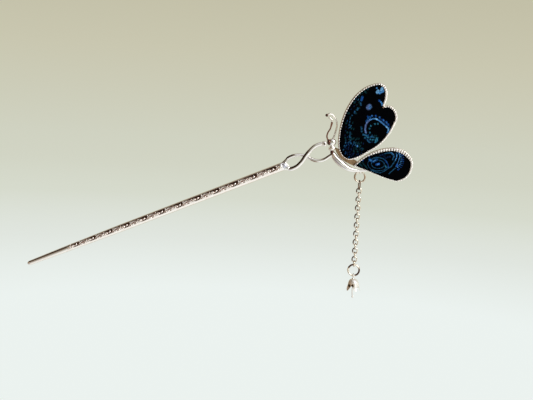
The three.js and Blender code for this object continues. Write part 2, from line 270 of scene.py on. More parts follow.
class Shading:
    """A node material under construction, with short ways to add the nodes that all of them use."""

    def __init__(self, name):
        self.material = bpy.data.materials.new(name)
        self.material.use_nodes = True
        self.nodes = self.material.node_tree.nodes
        self.shader = self.nodes["Principled BSDF"]
        self.place = self.nodes.new("ShaderNodeTexCoord").outputs["Object"]

    def feed(self, socket, value):
        """Gives a socket a number or a colour, or links another node's output to it."""
        if isinstance(value, (int, float)):
            socket.default_value = value
        elif isinstance(value, tuple):
            socket.default_value = (*value, 1)
        else:
            self.material.node_tree.links.new(value, socket)

    def maths(self, operation, *values):
        node = self.nodes.new("ShaderNodeMath")
        node.operation = operation
        for socket, value in zip(node.inputs, values):
            self.feed(socket, value)
        return node.outputs["Value"]

    def remap(self, value, low, high, to_low, to_high, way="LINEAR"):
        node = self.nodes.new("ShaderNodeMapRange")
        node.interpolation_type = way
        self.feed(node.inputs["Value"], value)
        for socket, number in zip(("From Min", "From Max", "To Min", "To Max"), (low, high, to_low, to_high)):
            node.inputs[socket].default_value = number
        return node.outputs["Result"]

    def mix(self, share, first, second, blend="MIX"):
        node = self.nodes.new("ShaderNodeMix")
        node.data_type = "RGBA"
        node.blend_type = blend
        self.feed(node.inputs["Factor"], share)
        for socket, colour in zip([s for s in node.inputs if s.type == "RGBA"], (first, second)):
            self.feed(socket, colour)
        return [s for s in node.outputs if s.type == "RGBA"][0]


class Finish(Shading):
    """A Principled material that noises and marks vary over the object."""

    def __init__(self, name, metallic, roughness):
        super().__init__(name)
        self.feed(self.shader.inputs["Metallic"], metallic)
        self.feed(self.shader.inputs["Roughness"], roughness)

    def mapped(self, scale=(1, 1, 1), rotation=(0, 0, 0)):
        """The place on the object, turned and scaled."""
        node = self.nodes.new("ShaderNodeMapping")
        node.inputs["Scale"].default_value = scale
        node.inputs["Rotation"].default_value = rotation
        self.feed(node.inputs["Vector"], self.place)
        return node.outputs["Vector"]

    def noise(self, features_per_mm, detail=3.0, squash=(1, 1, 1)):
        texture = self.nodes.new("ShaderNodeTexNoise")
        self.feed(texture.inputs["Scale"], features_per_mm / MM)
        self.feed(texture.inputs["Detail"], detail)
        self.feed(texture.inputs["Vector"], self.mapped(squash))
        return texture.outputs["Fac"]

    def mark(self, label):
        attribute = self.nodes.new("ShaderNodeAttribute")
        attribute.attribute_name = label
        return attribute

    def bump(self, height, depth_mm, strength):
        node = self.nodes.new("ShaderNodeBump")
        self.feed(node.inputs["Strength"], strength)
        self.feed(node.inputs["Distance"], depth_mm * MM)
        self.feed(node.inputs["Height"], height)
        self.feed(self.shader.inputs["Normal"], node.outputs["Normal"])

    def colour(self, value):
        self.feed(self.shader.inputs["Base Color"], value)

    def roughness(self, value):
        self.feed(self.shader.inputs["Roughness"], value)


def silver(name, bright, tarnish, roughness, grain_mm, scratch=(1, 1, 1)):
    """Silver plate: cloudy tarnish, and a grain of fine wear that its roughness follows."""
    finish = Finish(name, 1.0, roughness)
    clouds = finish.noise(0.35, 4.0)
    wear = finish.noise(2.2, 5.0, scratch)
    share = finish.remap(clouds, 0.48, 0.8, 0.0, 0.55)
    finish.colour(finish.mix(share, bright, tarnish))
    finish.roughness(finish.remap(wear, 0.3, 0.75, 0.65 * roughness, 1.6 * roughness))
    finish.bump(finish.maths("ADD", wear, clouds), grain_mm, 0.6)
    return finish.material


BLACKENED_ROUGHNESS = 0.55


def blackened_silver(name, tones, roughness, first_black, grain_mm, metallic=1.0):
    """Silver that darkens to brown, then to black, the higher its mark is, and is rubbed bright on what
    stands out. The mark is the depth of a groove, and on some pieces painted shade and dark reflections.
    tones are its rubbed, dull, brown and black colours; first_black is the mark at which darkening starts."""
    rubbed, dull, stain_and_shade, black = tones
    finish = Finish(name, metallic, roughness)
    # the mark holds groove depth, and on some pieces painted shade and painted dark reflections
    depth = finish.mark("recess_and_painted_shade").outputs["Fac"]
    pits = finish.noise(5.0, 4.0)
    clouds = finish.noise(0.5, 3.0)
    pitted = finish.maths("ADD", depth, finish.maths("ADD", pits, -0.5))
    deep = finish.remap(pitted, first_black, 0.85, 0.0, 1.0)
    worn = finish.mix(finish.remap(clouds, 0.45, 0.75, 0.0, 0.6), rubbed, dull)
    stained_and_shaded = finish.mix(finish.remap(deep, 0.0, 0.55, 0.0, 1.0), worn, stain_and_shade)
    finish.colour(finish.mix(finish.remap(deep, 0.5, 1.0, 0.0, 1.0), stained_and_shaded, black))
    finish.roughness(finish.remap(deep, 0.0, 1.0, roughness, BLACKENED_ROUGHNESS))
    finish.bump(pits, grain_mm, 0.6)
    return finish.material


THREAD_SPACING = 0.28


def printed_cloth():
    """Black woven cotton with a blue print that worn patches and loose fibres break up."""
    finish = Finish("printed_cloth", 0.0, 0.82)
    ink = finish.mark("print").outputs["Color"]
    along_weave = finish.mapped(rotation=(0, -STICK_SLOPE, 0))
    threads = []
    for direction in ("X", "Z"):
        wave = finish.nodes.new("ShaderNodeTexWave")
        wave.bands_direction = direction
        finish.feed(wave.inputs["Scale"], 0.5 / (THREAD_SPACING * MM))
        finish.feed(wave.inputs["Distortion"], 0.6)
        finish.feed(wave.inputs["Detail"], 1.0)
        finish.feed(wave.inputs["Vector"], along_weave)
        threads.append(wave.outputs["Fac"])
    weave = finish.maths("MULTIPLY", *threads)
    fibre = finish.noise(3.0, 5.0)
    patchy = finish.noise(1.3, 2.0)
    broken = finish.remap(patchy, 0.32, 0.6, 0.3, 1.2)
    cover = finish.maths("MULTIPLY", broken, finish.remap(fibre, 0.35, 0.6, 0.5, 1.15))
    ground = finish.mix(fibre, (0.0003, 0.0004, 0.0008), (0.0012, 0.0014, 0.0026))
    dyed = finish.mix(cover, (0.0, 0.0, 0.0), ink)
    finish.colour(finish.mix(1.0, ground, dyed, "ADD"))
    finish.bump(finish.maths("ADD", weave, fibre), 0.05, 0.8)
    finish.feed(finish.shader.inputs["Specular IOR Level"], 0.012)
    return finish.material


def felt():
    finish = Finish("pad_felt", 0.0, 0.95)
    fuzz = finish.noise(2.5, 6.0)
    finish.colour(finish.mix(fuzz, (0.2, 0.19, 0.175), (0.42, 0.4, 0.37)))
    finish.bump(fuzz, 0.15, 0.8)
    finish.feed(finish.shader.inputs["Sheen Weight"], 0.3)
    return finish.material


CAST_TONES = (0.96, 0.93, 0.9), (0.88, 0.76, 0.7), (0.44, 0.25, 0.2), (0.06, 0.032, 0.02)
CUT_TONES = (0.98, 0.97, 0.95), (0.94, 0.91, 0.85), (0.5, 0.36, 0.28), (0.09, 0.055, 0.04)
PIERCED_TONES = (0.98, 0.97, 0.95), (0.9, 0.86, 0.8), (0.62, 0.42, 0.22), (0.02, 0.012, 0.01)
STRAND_TONES = (0.94, 0.93, 0.92), (0.84, 0.8, 0.79), (0.42, 0.3, 0.24), (0.07, 0.04, 0.028)
CHAIN_TONES = (0.95, 0.9, 0.8), (0.84, 0.74, 0.58), (0.5, 0.36, 0.24), (0.1, 0.05, 0.035)

POLISHED = silver("polished_silver", (0.93, 0.925, 0.91), (0.8, 0.77, 0.73), 0.085, 0.004)
CAST = blackened_silver("engraved_silver", CAST_TONES, 0.2, 0.22, 0.02)
CUT = blackened_silver("cut_silver", CUT_TONES, 0.26, 0.2, 0.004, 0.55)
PIERCED = blackened_silver("pierced_silver", PIERCED_TONES, 0.24, 0.2, 0.003, 0.5)
STRAND = blackened_silver("strand_silver", STRAND_TONES, 0.1, 0.2, 0.003)
BACK = silver("back_silver", (0.7, 0.64, 0.58), (0.45, 0.36, 0.3), 0.3, 0.012, (0.15, 1, 1))
CHAIN = blackened_silver("chain_silver", CHAIN_TONES, 0.14, 0.22, 0.003)
# Painted shade: dark warm brown for the web in the gap between abdomen and wing, standing in for shade and
# warm reflection.
PAINTED_WEB_SHADE = silver("painted_web_shade_silver", (0.36, 0.24, 0.14), (0.1, 0.05, 0.03), 0.34, 0.03)
# Painted shade: a darker brown copy of the antenna silver, for the rear antenna wire.
PAINTED_BROWN_SHADE = silver("painted_brown_shade_silver", (0.3, 0.15, 0.11), (0.2, 0.1, 0.075), 0.16, 0.004)
# Painted shade: near-black silver for the dark reflections on the head's left, at the abdomen's start and on
# the front antenna's bead.
PAINTED_DARK_SHADE = silver("painted_dark_shade_silver", (0.12, 0.06, 0.045), (0.06, 0.03, 0.025), 0.2, 0.004)
# Painted reflection: a lavender tint for the blob in the fork's hollow.
PAINTED_LAVENDER_REFLECTION = silver("painted_lavender_reflection_silver", (0.7, 0.72, 0.82), (0.6, 0.57, 0.66), 0.45, 0.006)
SATIN = silver("satin_silver", (0.96, 0.93, 0.88), (0.86, 0.8, 0.72), 0.3, 0.006)
CLOTH = printed_cloth()
FELT = felt()

# ---- The camera, at the photograph's angle ----

CAMERA_AIM = np.array([67.607, 0, 17.61])
CAMERA_DISTANCE = 578.9
CAMERA_ELEVATION = math.radians(6)
CAMERA_ROLL = math.radians(3.4)
CAMERA_LENS, CAMERA_SENSOR = 85, 36


def add_camera():
    data = bpy.data.cameras.new("camera")
    data.lens, data.sensor_width = CAMERA_LENS, CAMERA_SENSOR
    camera = bpy.data.objects.new("camera", data)
    bpy.context.scene.collection.objects.link(camera)
    back = Vector((0, -math.cos(CAMERA_ELEVATION), math.sin(CAMERA_ELEVATION)))
    level_up = Vector((0, math.sin(CAMERA_ELEVATION), math.cos(CAMERA_ELEVATION)))
    right = math.cos(CAMERA_ROLL) * Vector(X_AXIS) + math.sin(CAMERA_ROLL) * level_up
    up = math.cos(CAMERA_ROLL) * level_up - math.sin(CAMERA_ROLL) * Vector(X_AXIS)
    turned = Matrix((right, up, back)).transposed().to_4x4()
    place = Vector(CAMERA_AIM * MM) + back * CAMERA_DISTANCE * MM
    camera.matrix_world = Matrix.Translation(place) @ turned
    bpy.context.scene.camera = camera


# ---- The stick ----

RELIEF_START, RELIEF_END = -26.0, 80.0
RELIEF_DEPTH = 0.27
RELIEF_STEP = 0.11
STICK_SIDES = 104
POINT_LENGTH = 1.2
PLAIN_END = 0.6  # plain stick past the relief
CELL = 9.0  # nominal length of one repeat of the scroll, in the scroll's own units
FIRST_REPEAT, REPEAT_GROWTH = 8.5, 0.0125  # length of a repeat at the grip, and how fast it grows
KNOWN_PLACE, KNOWN_PHASE = 20, 0.377  # one place along the stick, and how much of a repeat lies before it
UPPER_RIM, LOWER_RIM = 0.85, 0.28  # shares of the radius where the plain side bands start
WEDGE_TOP, WEDGE_SLOPE = 1.42, 0.145  # the lower edge of the dark wedge over each leaf
LEAF_SEAM = [(6.8, 0.7), (6.7, 0.25), (6.1, -0.1), (5.1, -0.35), (3.9, -0.55)]  # each leaf's dark edge


def stick_radius(s):
    stations = [-45, -43.8, -27, 0, 60, 78, 82]
    radii = [0.93, 1.0, 1.34, 1.68, 1.85, 1.9, 1.95]
    return np.interp(s, stations, radii)


def scroll_place(s):
    """Where s lies within its repeat of the scroll. The repeats grow a little longer towards the neck."""
    known_repeat = FIRST_REPEAT + REPEAT_GROWTH * KNOWN_PLACE
    phase = KNOWN_PHASE + np.log((FIRST_REPEAT + REPEAT_GROWTH * s) / known_repeat) / REPEAT_GROWTH
    return (phase % 1.0) * CELL


def spiral(centre, start, whole_turns, first, last):
    share = np.linspace(0, 1, 22)
    turn = start + whole_turns * 2 * math.pi * share
    radius = first + (last - first) * share
    return np.stack([centre[0] + radius * np.cos(turn), centre[1] + radius * np.sin(turn)], axis=1)


def scroll_strokes():
    """The raised lines of one repeat as (points, half width): x along the stick, v across it."""
    x = np.linspace(0, CELL, 40)
    trough = 0.45 * CELL
    rising, falling = np.cos(math.pi * x / trough), -np.cos(math.pi * (x - trough) / (CELL - trough))
    stem = np.where(x < trough, rising, falling)
    return [
        (np.stack([x, 0.02 + 1.1 * stem], axis=1), 0.27),
        (spiral((3.42, 0.08), 2.6, -1.15, 0.82, 0.3), 0.24),
        (spiral((5.25, 0.05), 4.4, 1.0, 0.62, 0.2), 0.22),
        (spiral((1.75, -0.15), 1.2, 0.9, 0.6, 0.24), 0.2),
        (np.array([[5.1, 0.1], [5.45, 0.6], [5.75, 0.95]]), 0.2),
        (np.array([[5.55, 0.72], [5.82, 1.1]]), 0.34),
        (spiral((8.05, -0.42), 0.3, -1.1, 0.66, 0.26), 0.22),
        (spiral((7.6, 0.8), 2.0, 0.8, 0.45, 0.18), 0.18),
        (np.array([[6.7, -0.75], [7.2, -1.15]]), 0.22),
        (np.array([[0.9, -0.75], [1.5, -1.0]]), 0.2),
        (np.array([[0.3, 0.2], [0.9, -0.1], [1.2, -0.45]]), 0.16),
        (np.array([[2.1, 1.25], [2.5, 1.1]]), 0.16),
    ]


def relief_height(x, v):
    """From 0 in the ground of the engraving to 1 on its raised lines."""
    height = np.zeros(len(x))
    for points, half_width in scroll_strokes():
        for shift in (-CELL, 0, CELL):
            away = distance_to(points + [shift, 0], x, v)
            height = np.maximum(height, 1 - smooth_step(0.55 * half_width, 1.25 * half_width, away))
    return height


def leaf_shadow(x, v):
    """1 in the deep ground between the leaves' tops and along each leaf's dark edge, 0 elsewhere."""
    wedge = smooth_step(-0.1, 0.12, v - WEDGE_TOP + WEDGE_SLOPE * (x - 0.8))
    wedge = wedge * smooth_step(0.5, 1.3, x) * (1 - smooth_step(6.75, 7.15, x))
    seam = 1 - smooth_step(0.18, 0.36, distance_to(LEAF_SEAM, x, v))
    return np.maximum(wedge, seam)


def stick_shaft():
    relief = np.arange(RELIEF_START, RELIEF_END, RELIEF_STEP)
    point = np.array([0.05, 0.15, 0.3, 0.5, 0.8, POINT_LENGTH]) - STICK_BELOW_GRIP
    plain = np.linspace(1 - STICK_BELOW_GRIP, RELIEF_START, 40)
    s = np.concatenate([point, plain[1:-1], relief, np.linspace(RELIEF_END, RELIEF_END + PLAIN_END, 6)])
    turn = turns(STICK_SIDES) + math.pi / STICK_SIDES
    to_point = np.clip((POINT_LENGTH - STICK_BELOW_GRIP - s) / 1.25, 0, 1)
    radius = stick_radius(s) * np.sqrt(np.clip(1 - to_point**2, 0.02, 1))
    across = np.tile(np.sin(turn), len(s))
    toward_viewer = np.tile(np.cos(turn), len(s))
    station, wide = np.repeat(s, STICK_SIDES), np.repeat(radius, STICK_SIDES)
    x, v = scroll_place(station), wide * across
    shadow = leaf_shadow(x, v)
    height = relief_height(x, v) * (1 - 0.9 * shadow)
    rim = smooth_step(0.95, 1.05, np.where(across > 0, across / UPPER_RIM, -across / LOWER_RIM))
    fade = smooth_step(RELIEF_START, RELIEF_START + 4, station)
    fade = fade * (1 - smooth_step(RELIEF_END - 0.5, RELIEF_END, station))
    sunk = (1 - np.maximum(height, rim)) * fade
    shrunk = (wide - RELIEF_DEPTH * sunk)[:, None]
    out = across[:, None] * ABOVE - toward_viewer[:, None] * Y_AXIS
    rings = station[:, None] * ALONG + shrunk * out
    verts = np.vstack([rings, [-STICK_BELOW_GRIP * ALONG], [s[-1] * ALONG]])
    recess_and_painted_shade = np.concatenate([sunk * (0.52 + 0.48 * shadow), [0, 0]])
    faces = pointed_tube(len(s), STICK_SIDES)
    piece("engraved_stick", verts, faces, CAST, "stick", ["stick_shaft"], "cast_silver", {"recess_and_painted_shade": recess_and_painted_shade})


def beside_stick(along, above, y):
    return along * ALONG + above * ABOVE + y * Y_AXIS


OVER_PATH = [
    beside_stick(81.0, -0.75, -0.1),
    beside_stick(82.8, -1.35, -0.2),
    (77.6, -0.45, 32.5),
    (80.4, -0.9, 33.75),
    (82.5, -1.25, 35.95),
    (84.1, -1.25, 38.6),
    (85.8, -1.25, 41.1),
    (88.2, -0.8, 43.6),
    (91.0, -0.4, 44.85),
    (92.2, -0.35, 45.0),
]
UNDER_PATH = [
    beside_stick(81.0, 0.8, 0.1),
    beside_stick(82.8, 1.4, 0.2),
    (76.5, 0.4, 37.5),
    (79.4, 0.6, 38.8),
    (82.5, 0.85, 39.05),
    (85.5, 0.85, 38.2),
    (89.0, 0.5, 37.1),
    (92.4, 0.2, 37.5),
    (95.7, 0.0, 39.8),
    (96.9, 0.0, 40.6),
]

# Painted dark reflections and shade on swept bars, as (start, end, way, depth): shares of the length;
# way is 1 above and -1 below.
OVER_PAINTED_REFLECTIONS = [(0.1, 0.66, 1, 1.0)]
UNDER_PAINTED_REFLECTIONS = [(0.06, 0.3, 1, 0.95), (0.56, 0.7, -1, 0.6), (0.76, 0.98, 1, 0.75)]
ABDOMEN_PAINTED_REFLECTIONS = [(-0.1, 0.12, -1, 0.8), (-0.1, 0.45, -1, 0.36)]


def bar_with_painted_reflections(name, path, radii, sides, lines, node):
    """A swept bar of strand silver with lines of painted dark reflection along it."""
    out = ways_out(path, sides)
    above = unit(np.cross(np.gradient(path, axis=0), Y_AXIS))
    share = np.linspace(0, 1, len(path))
    black = np.zeros((len(path), sides))
    for start, end, way, depth in lines:
        # Painted dark reflection: darkens the side turned towards the viewer and the line's way, whatever the
        # light.
        middle = 0.8 * way * above - 0.6 * Y_AXIS
        facing = (out * middle[:, None]).sum(axis=2)
        along = smooth_step(start - 0.05, start + 0.05, share)
        along = along * (1 - smooth_step(end - 0.05, end + 0.05, share))
        black = np.maximum(black, depth * along[:, None] * smooth_step(0.62, 0.86, facing))
    marks = {"recess_and_painted_shade": np.concatenate([black[1:-1].ravel(), [0, 0]])}
    piece(name, *sweep(path, radii, sides), STRAND, "stick", [node], marks=marks)


def width_by_share(shares, widths, scale=1.0):
    """A width that goes through given values at given shares of a bar's length."""
    return lambda t: scale * np.interp(t, shares, widths)


def neck():
    """The stick's end spreads into a smooth hollowed fork; two strands leave it and twist once."""
    collar_path = [beside_stick(s, 0, 0) for s in (78.7, 79.8, 80.8, 81.6, 82.4, 83.0)]
    path, radii = round_ended(collar_path, width_by_share([0, 0.5, 1], [1.86, 1.95, 1.9]), 0.2)
    shares = np.linspace(0, 1, len(path))
    shapes = [sweep(path, radii, 40, np.interp(shares, [0, 0.5, 0.9], [1.0, 0.95, 0.6]))]
    for path, radius in ((OVER_PATH, STRAND_OVER_RADIUS), (UNDER_PATH, STRAND_UNDER_RADIUS)):
        root_width = width_by_share([0, 0.6, 1], [1.22, 1.12, 0.98], radius)
        shapes.append(sweep(*round_ended(path[:3], root_width, 0.2), 20))
    fused("neck_fork", shapes, 0.1, 8, POLISHED, "stick", ["stick_fork"])
    # Painted reflection: a lavender silver blob in the fork's hollow.
    web = blob(beside_stick(82.0, 0.1, -1.0), (1.35, 0.72, 1.1), 2.3, 26, 36, STICK_SLOPE)
    piece("fork_painted_reflection", *web, PAINTED_LAVENDER_REFLECTION, "stick")
    rim = [beside_stick(*place, -0.5) for place in ((82.9, 1.5), (83.3, 0.6), (83.7, -0.5), (84.2, -1.3))]
    piece("fork_rim", *sweep(*round_ended(rim, lambda t: 0.4, 0.15), 20), SATIN, "stick")
    for name, path, radius, node, lines in (
        ("neck_strand_front", OVER_PATH, STRAND_OVER_RADIUS, "neck_strand_over", OVER_PAINTED_REFLECTIONS),
        ("neck_strand_back", UNDER_PATH, STRAND_UNDER_RADIUS, "neck_strand_under", UNDER_PAINTED_REFLECTIONS),
    ):
        width = width_by_share([0, 0.2, 0.8, 1], [0.8, 1, 0.97, 0.88], radius)
        # Each strand gets lines of painted dark reflection.
        bar_with_painted_reflections(name, *round_ended(path, width), 28, lines, node)


# ---- The butterfly's body ----


def pierced_ball(centre, radius, dimple, depth):
    """A bead with a round dimple that faces the viewer, and a mark of how deep each vertex sits in it."""
    verts, faces = blob((0, 0, 0), (radius, radius, radius), 2.0, 50, 72)
    off_axis = np.hypot(verts[:, 0], verts[:, 2])
    sunk = (1 - smooth_step(0.75 * dimple, 1.1 * dimple, off_axis)) * (verts[:, 1] < 0)
    verts[:, 1] += depth * sunk
    return verts + centre, faces, sunk


def butterfly_body():
    verts, faces, recess_and_painted_shade = pierced_ball((92.5, -0.45, 45.05), 1.3, 0.5, 0.12)
    piece("strand_ball", verts, faces, PIERCED, "stick", ["strand_end_ball"], marks={"recess_and_painted_shade": recess_and_painted_shade})
    head = blob((96.0, 0, 45.9), (1.95, 1.6, 1.72), 2.1, 26, 36, 0.25)
    fused("head", [head], 0.09, 2, POLISHED, "stick", ["butterfly_head"])
    # Painted reflection: a near-black blob over the head's left side stands in for the dark crescent reflected
    # there.
    face = blob((94.55, -0.75, 45.9), (0.85, 0.95, 1.4), 2.0, 24, 30, 0.2)
    piece("face", *face, PAINTED_DARK_SHADE, "stick")
    chest = blob((96.15, 0, 43.1), (1.65, 1.25, 1.25), 2.0, 22, 30, 0.35)
    collar = blob((96.1, 0, 44.25), (0.95, 0.95, 0.55), 2.0, 14, 24, 0.2)
    fused("chest", [chest, collar], 0.08, 5, SATIN, "stick", ["thorax"])
    # Painted shade: a near-black blob where the abdomen starts below the thorax.
    waist_shade = blob((96.35, -0.1, 41.3), (0.95, 1.15, 0.85), 2.0, 22, 30, -0.6)
    piece("waist_shade", *waist_shade, PAINTED_DARK_SHADE, "stick")


ABDOMEN_PATH = [
    (95.9, 0, 41.9),
    (96.6, 0, 40.9),
    (98.5, 0, 38.4),
    (101.2, 0, 36.2),
    (104.1, -0.1, 34.4),
    (107.4, -0.2, 33.6),
    (112.6, -0.2, 33.75),
]
ABDOMEN_SHARES = [0, 0.08, 0.2, 0.35, 0.55, 0.75, 0.9, 1]
ABDOMEN_RADII = [0.8, 1.1, 1.5, 1.6, 1.35, 0.85, 0.5, 0.3]


def abdomen():
    """The abdomen swells quickly behind the thorax and runs out to a fine, level tail."""
    path, radii = round_ended(ABDOMEN_PATH, width_by_share(ABDOMEN_SHARES, ABDOMEN_RADII), 0.2)
    kernel = np.ones(9) / 9
    radii[8:-8] = np.convolve(np.pad(radii, 4, mode="edge"), kernel, "valid")[8:-8]
    # Painted shade and dark reflection on the underside near the thorax.
    bar_with_painted_reflections("abdomen_shell", path, radii, 36, ABDOMEN_PAINTED_REFLECTIONS, "abdomen")


ANTENNA_FRONT = [
    (96.0, -0.3, 46.7),
    (96.3, -0.2, 47.5),
    (97.0, 0.2, 49.4),
    (97.5, 0.6, 51.6),
    (97.8, 0.6, 53.6),
    (97.4, 0.5, 55.8),
    (96.1, 0.3, 57.7),
    (94.4, 0.1, 58.75),
    (93.0, 0.0, 58.15),
]
REAR_TIP = [(95.5, 0.5, 55.2), (95.3, 0.5, 56.1), (94.6, 0.5, 56.7), (93.8, 0.5, 57.2)]
ANTENNA_REAR = [
    (94.3, 0.4, 46.3),
    (94.0, 0.5, 46.95),
    (93.5, 0.5, 48.4),
    (93.9, 0.5, 50.3),
    (94.8, 0.5, 52.0),
    REAR_TIP[0],
]


def antennae():
    for name, path, wire, metal in (
        ("antenna_front", ANTENNA_FRONT, 0.41, SATIN),
        # painted shade: the rear wire is a darker brown copy of the same silver
        ("antenna_rear", ANTENNA_REAR, 0.36, PAINTED_BROWN_SHADE),
    ):
        bar = round_ended(path, lambda t, wire=wire: wire - 0.05 * t + 0.2 * max(0, t - 0.72) / 0.28, 0.12)
        piece(name + "_wire", *sweep(*bar, 18), metal, "stick", [name])
    # Painted reflection: the front antenna's end bead is near-black, standing in for the dark reflection on
    # it.
    bead = blob((92.85, 0.0, 58.1), (0.72, 0.68, 0.68), 2.0, 20, 28)
    piece("antenna_front_bead", *bead, PAINTED_DARK_SHADE, "stick")
    tip = sweep(*round_ended(REAR_TIP, lambda t: 0.36 + 0.16 * t, 0.12), 18)
    piece("antenna_rear_tip", *tip, SATIN, "stick")


# ---- The wings ----

# Closed outlines in a wing's plane. Each Bezier curve is (control, control, end) and starts where the one
# before it ends, the first where the last ends.
UPPER_WING = [
    [(7.8, 30.7), (2.4, 15.9), (2.7, 4.7)],
    [(2.5, 1.0), (4.6, -3.6), (8.9, -3.6)],
    [(12.6, -3.4), (15.2, -0.8), (18.3, 1.1)],
    [(22.9, 3.9), (26.8, 9.0), (28.6, 15.0)],
    [(30.4, 17.5), (27.1, 24.4), (22.5, 21.6)],
    [(24.7, 26.4), (23.9, 32.0), (19.8, 32.2)],
]
LOWER_WING = [
    [(17.8, -8.2), (24.3, -11.6), (31.0, -12.5)],
    [(35.4, -12.3), (37.9, -8.3), (37.9, -4.6)],
    [(37.8, 0.9), (31.7, 3.7), (26.8, 2.8)],
    [(20.6, 2.3), (14.8, -1.3), (10.5, -6.4)],
]
ROOT_WEB = [
    [(2.0, -1.6), (5.0, -4.6), (10.4, -6.4)],
    [(11.4, -5.9), (12.2, -5.0), (12.0, -4.2)],
    [(9.6, -2.8), (6.6, -3.2), (4.6, -1.2)],
    [(3.9, 0.2), (3.0, 1.4), (1.7, 1.4)],
]


def outline_points(curves, count):
    """(evenly spaced points, length) of a closed outline of Bezier curves, anticlockwise."""
    t = np.linspace(0, 1, 120, endpoint=False)[:, None]
    fine = []
    for before, curve in zip(curves[-1:] + curves[:-1], curves):
        a, b, c, d = np.array([before[-1], *curve], dtype=float)
        fine.append((1 - t) ** 3 * a + 3 * (1 - t) ** 2 * t * b + 3 * (1 - t) * t**2 * c + t**3 * d)
    fine = np.vstack([*fine, fine[0][:1]])
    length = run_along(fine)[-1]
    return points_at(np.linspace(0, length, count, endpoint=False), fine), length


class Outline:
    """A wing's outline with its inward normals, and how far each point can move in before it folds over."""

    NORMAL_REACH = 3  # points to each side that a normal is taken from
    WIDEST_MOVE = 9.0
    SAFE_SHARE = 0.92  # of the move at which the outline would fold over

    def __init__(self, curves, count):
        self.points, self.length = outline_points(curves, count)
        ahead = np.roll(self.points, -self.NORMAL_REACH, axis=0)
        behind = np.roll(self.points, self.NORMAL_REACH, axis=0)
        tangent = unit(ahead - behind)
        self.inward = np.stack([-tangent[:, 1], tangent[:, 0]], axis=1)
        gap = self.points[None] - self.points[:, None]
        lean = np.einsum("ijk,ik->ij", gap, self.inward)
        spread = (gap**2).sum(axis=2)
        limit = np.where(lean > 1e-6, spread / (2 * np.maximum(lean, 1e-6)), np.inf)
        self.limit = np.minimum(limit.min(axis=1), self.WIDEST_MOVE)

    def moved_in(self, distance):
        allowed = np.minimum(distance, self.SAFE_SHARE * self.limit)
        return self.points + self.inward * np.reshape(allowed, (-1, 1))


def wing_place(local):
    """Wing-local (x, y, z) to the row frame, in millimetres."""
    turn = np.array(Matrix.Rotation(WING_LEAN, 3, Vector(ALONG)))
    return np.asarray(local) @ turn.T + WING_ORIGIN


def plate_piece(name, outline, front, back, material, stands_for):
    """A sheet plate with softened edges, its outline in the wing's plane."""
    # (how far in from the edge, how far below the face)
    rows = [(0.7, 0.0), (0.2, 0.0), (0.16, 0.0), (0.04, 0.08), (0.0, 0.2)]
    layers = [(inward, front + below) for inward, below in rows]
    layers += [(inward, back - below) for inward, below in reversed(rows)]
    verts = np.vstack([np.insert(outline.moved_in(inward), 1, y, axis=1) for inward, y in layers])
    faces = lidded_tube(len(layers), len(outline.points))
    piece(name, wing_place(verts), faces, material, "stick", stands_for, "back_silver")


def lip_reach(outline, broad_top):
    """How far the milled lip comes in over the cloth: most on the hind edges, and on the lower wing's top."""
    hind = smooth_step(-0.3, 0.5, -outline.inward[:, 0])
    under = smooth_step(0.1, 0.8, outline.inward[:, 1])
    top = smooth_step(0.2, 0.8, -outline.inward[:, 1]) * smooth_step(15, 22, outline.points[:, 0])
    return 0.56 + 0.56 * hind - 0.3 * under + broad_top * top


def milling_depth(outline):
    """The milling is cut deep along the edges that face up and forward, and is nearly worn away elsewhere."""
    facing = outline.inward @ np.array([0.5, -0.85])
    return 0.4 + 0.6 * smooth_step(-0.35, 0.3, facing)


TOOTH_PITCH = 1.27
POINTS_PER_TOOTH = 20
BAR_HALF_WIDTH = 0.43  # as a share of the pitch

# Across a bezel's wall: share of the lip in and height on a bar, the same in a groove, how black the
# groove is, and how much painted shade darkens the whole row along the front edges.
BEZEL_PROFILE = [
    (0.6, 0.72, 0.6, 0.72, 0.0, 0.0),
    (0.4, 0.5, 0.4, 0.5, 0.0, 0.3),
    (0.1, 0.42, 0.14, 0.42, 0.1, 0.5),
    (0.0, -0.6, 0.08, -0.55, 0.15, 0.6),
    (0.06, -0.95, 0.2, -0.8, 0.45, 0.5),
    (0.22, -1.15, 0.38, -0.84, 0.95, 0.1),
    (0.42, BEZEL_FRONT, 0.52, -0.84, 1.0, 0.0),
    (0.66, BEZEL_FRONT, 0.68, -0.83, 1.0, 0.0),
    (0.88, -1.12, 0.8, -0.8, 1.0, 0.0),
    (0.98, -0.98, 0.88, -0.76, 1.0, 0.0),
    (1.0, -0.72, 0.92, -0.66, 1.0, 0.0),
    (0.8, -0.5, 0.8, -0.5, 0.0, 0.0),
    (0.8, 0.72, 0.8, 0.72, 0.0, 0.0),
]


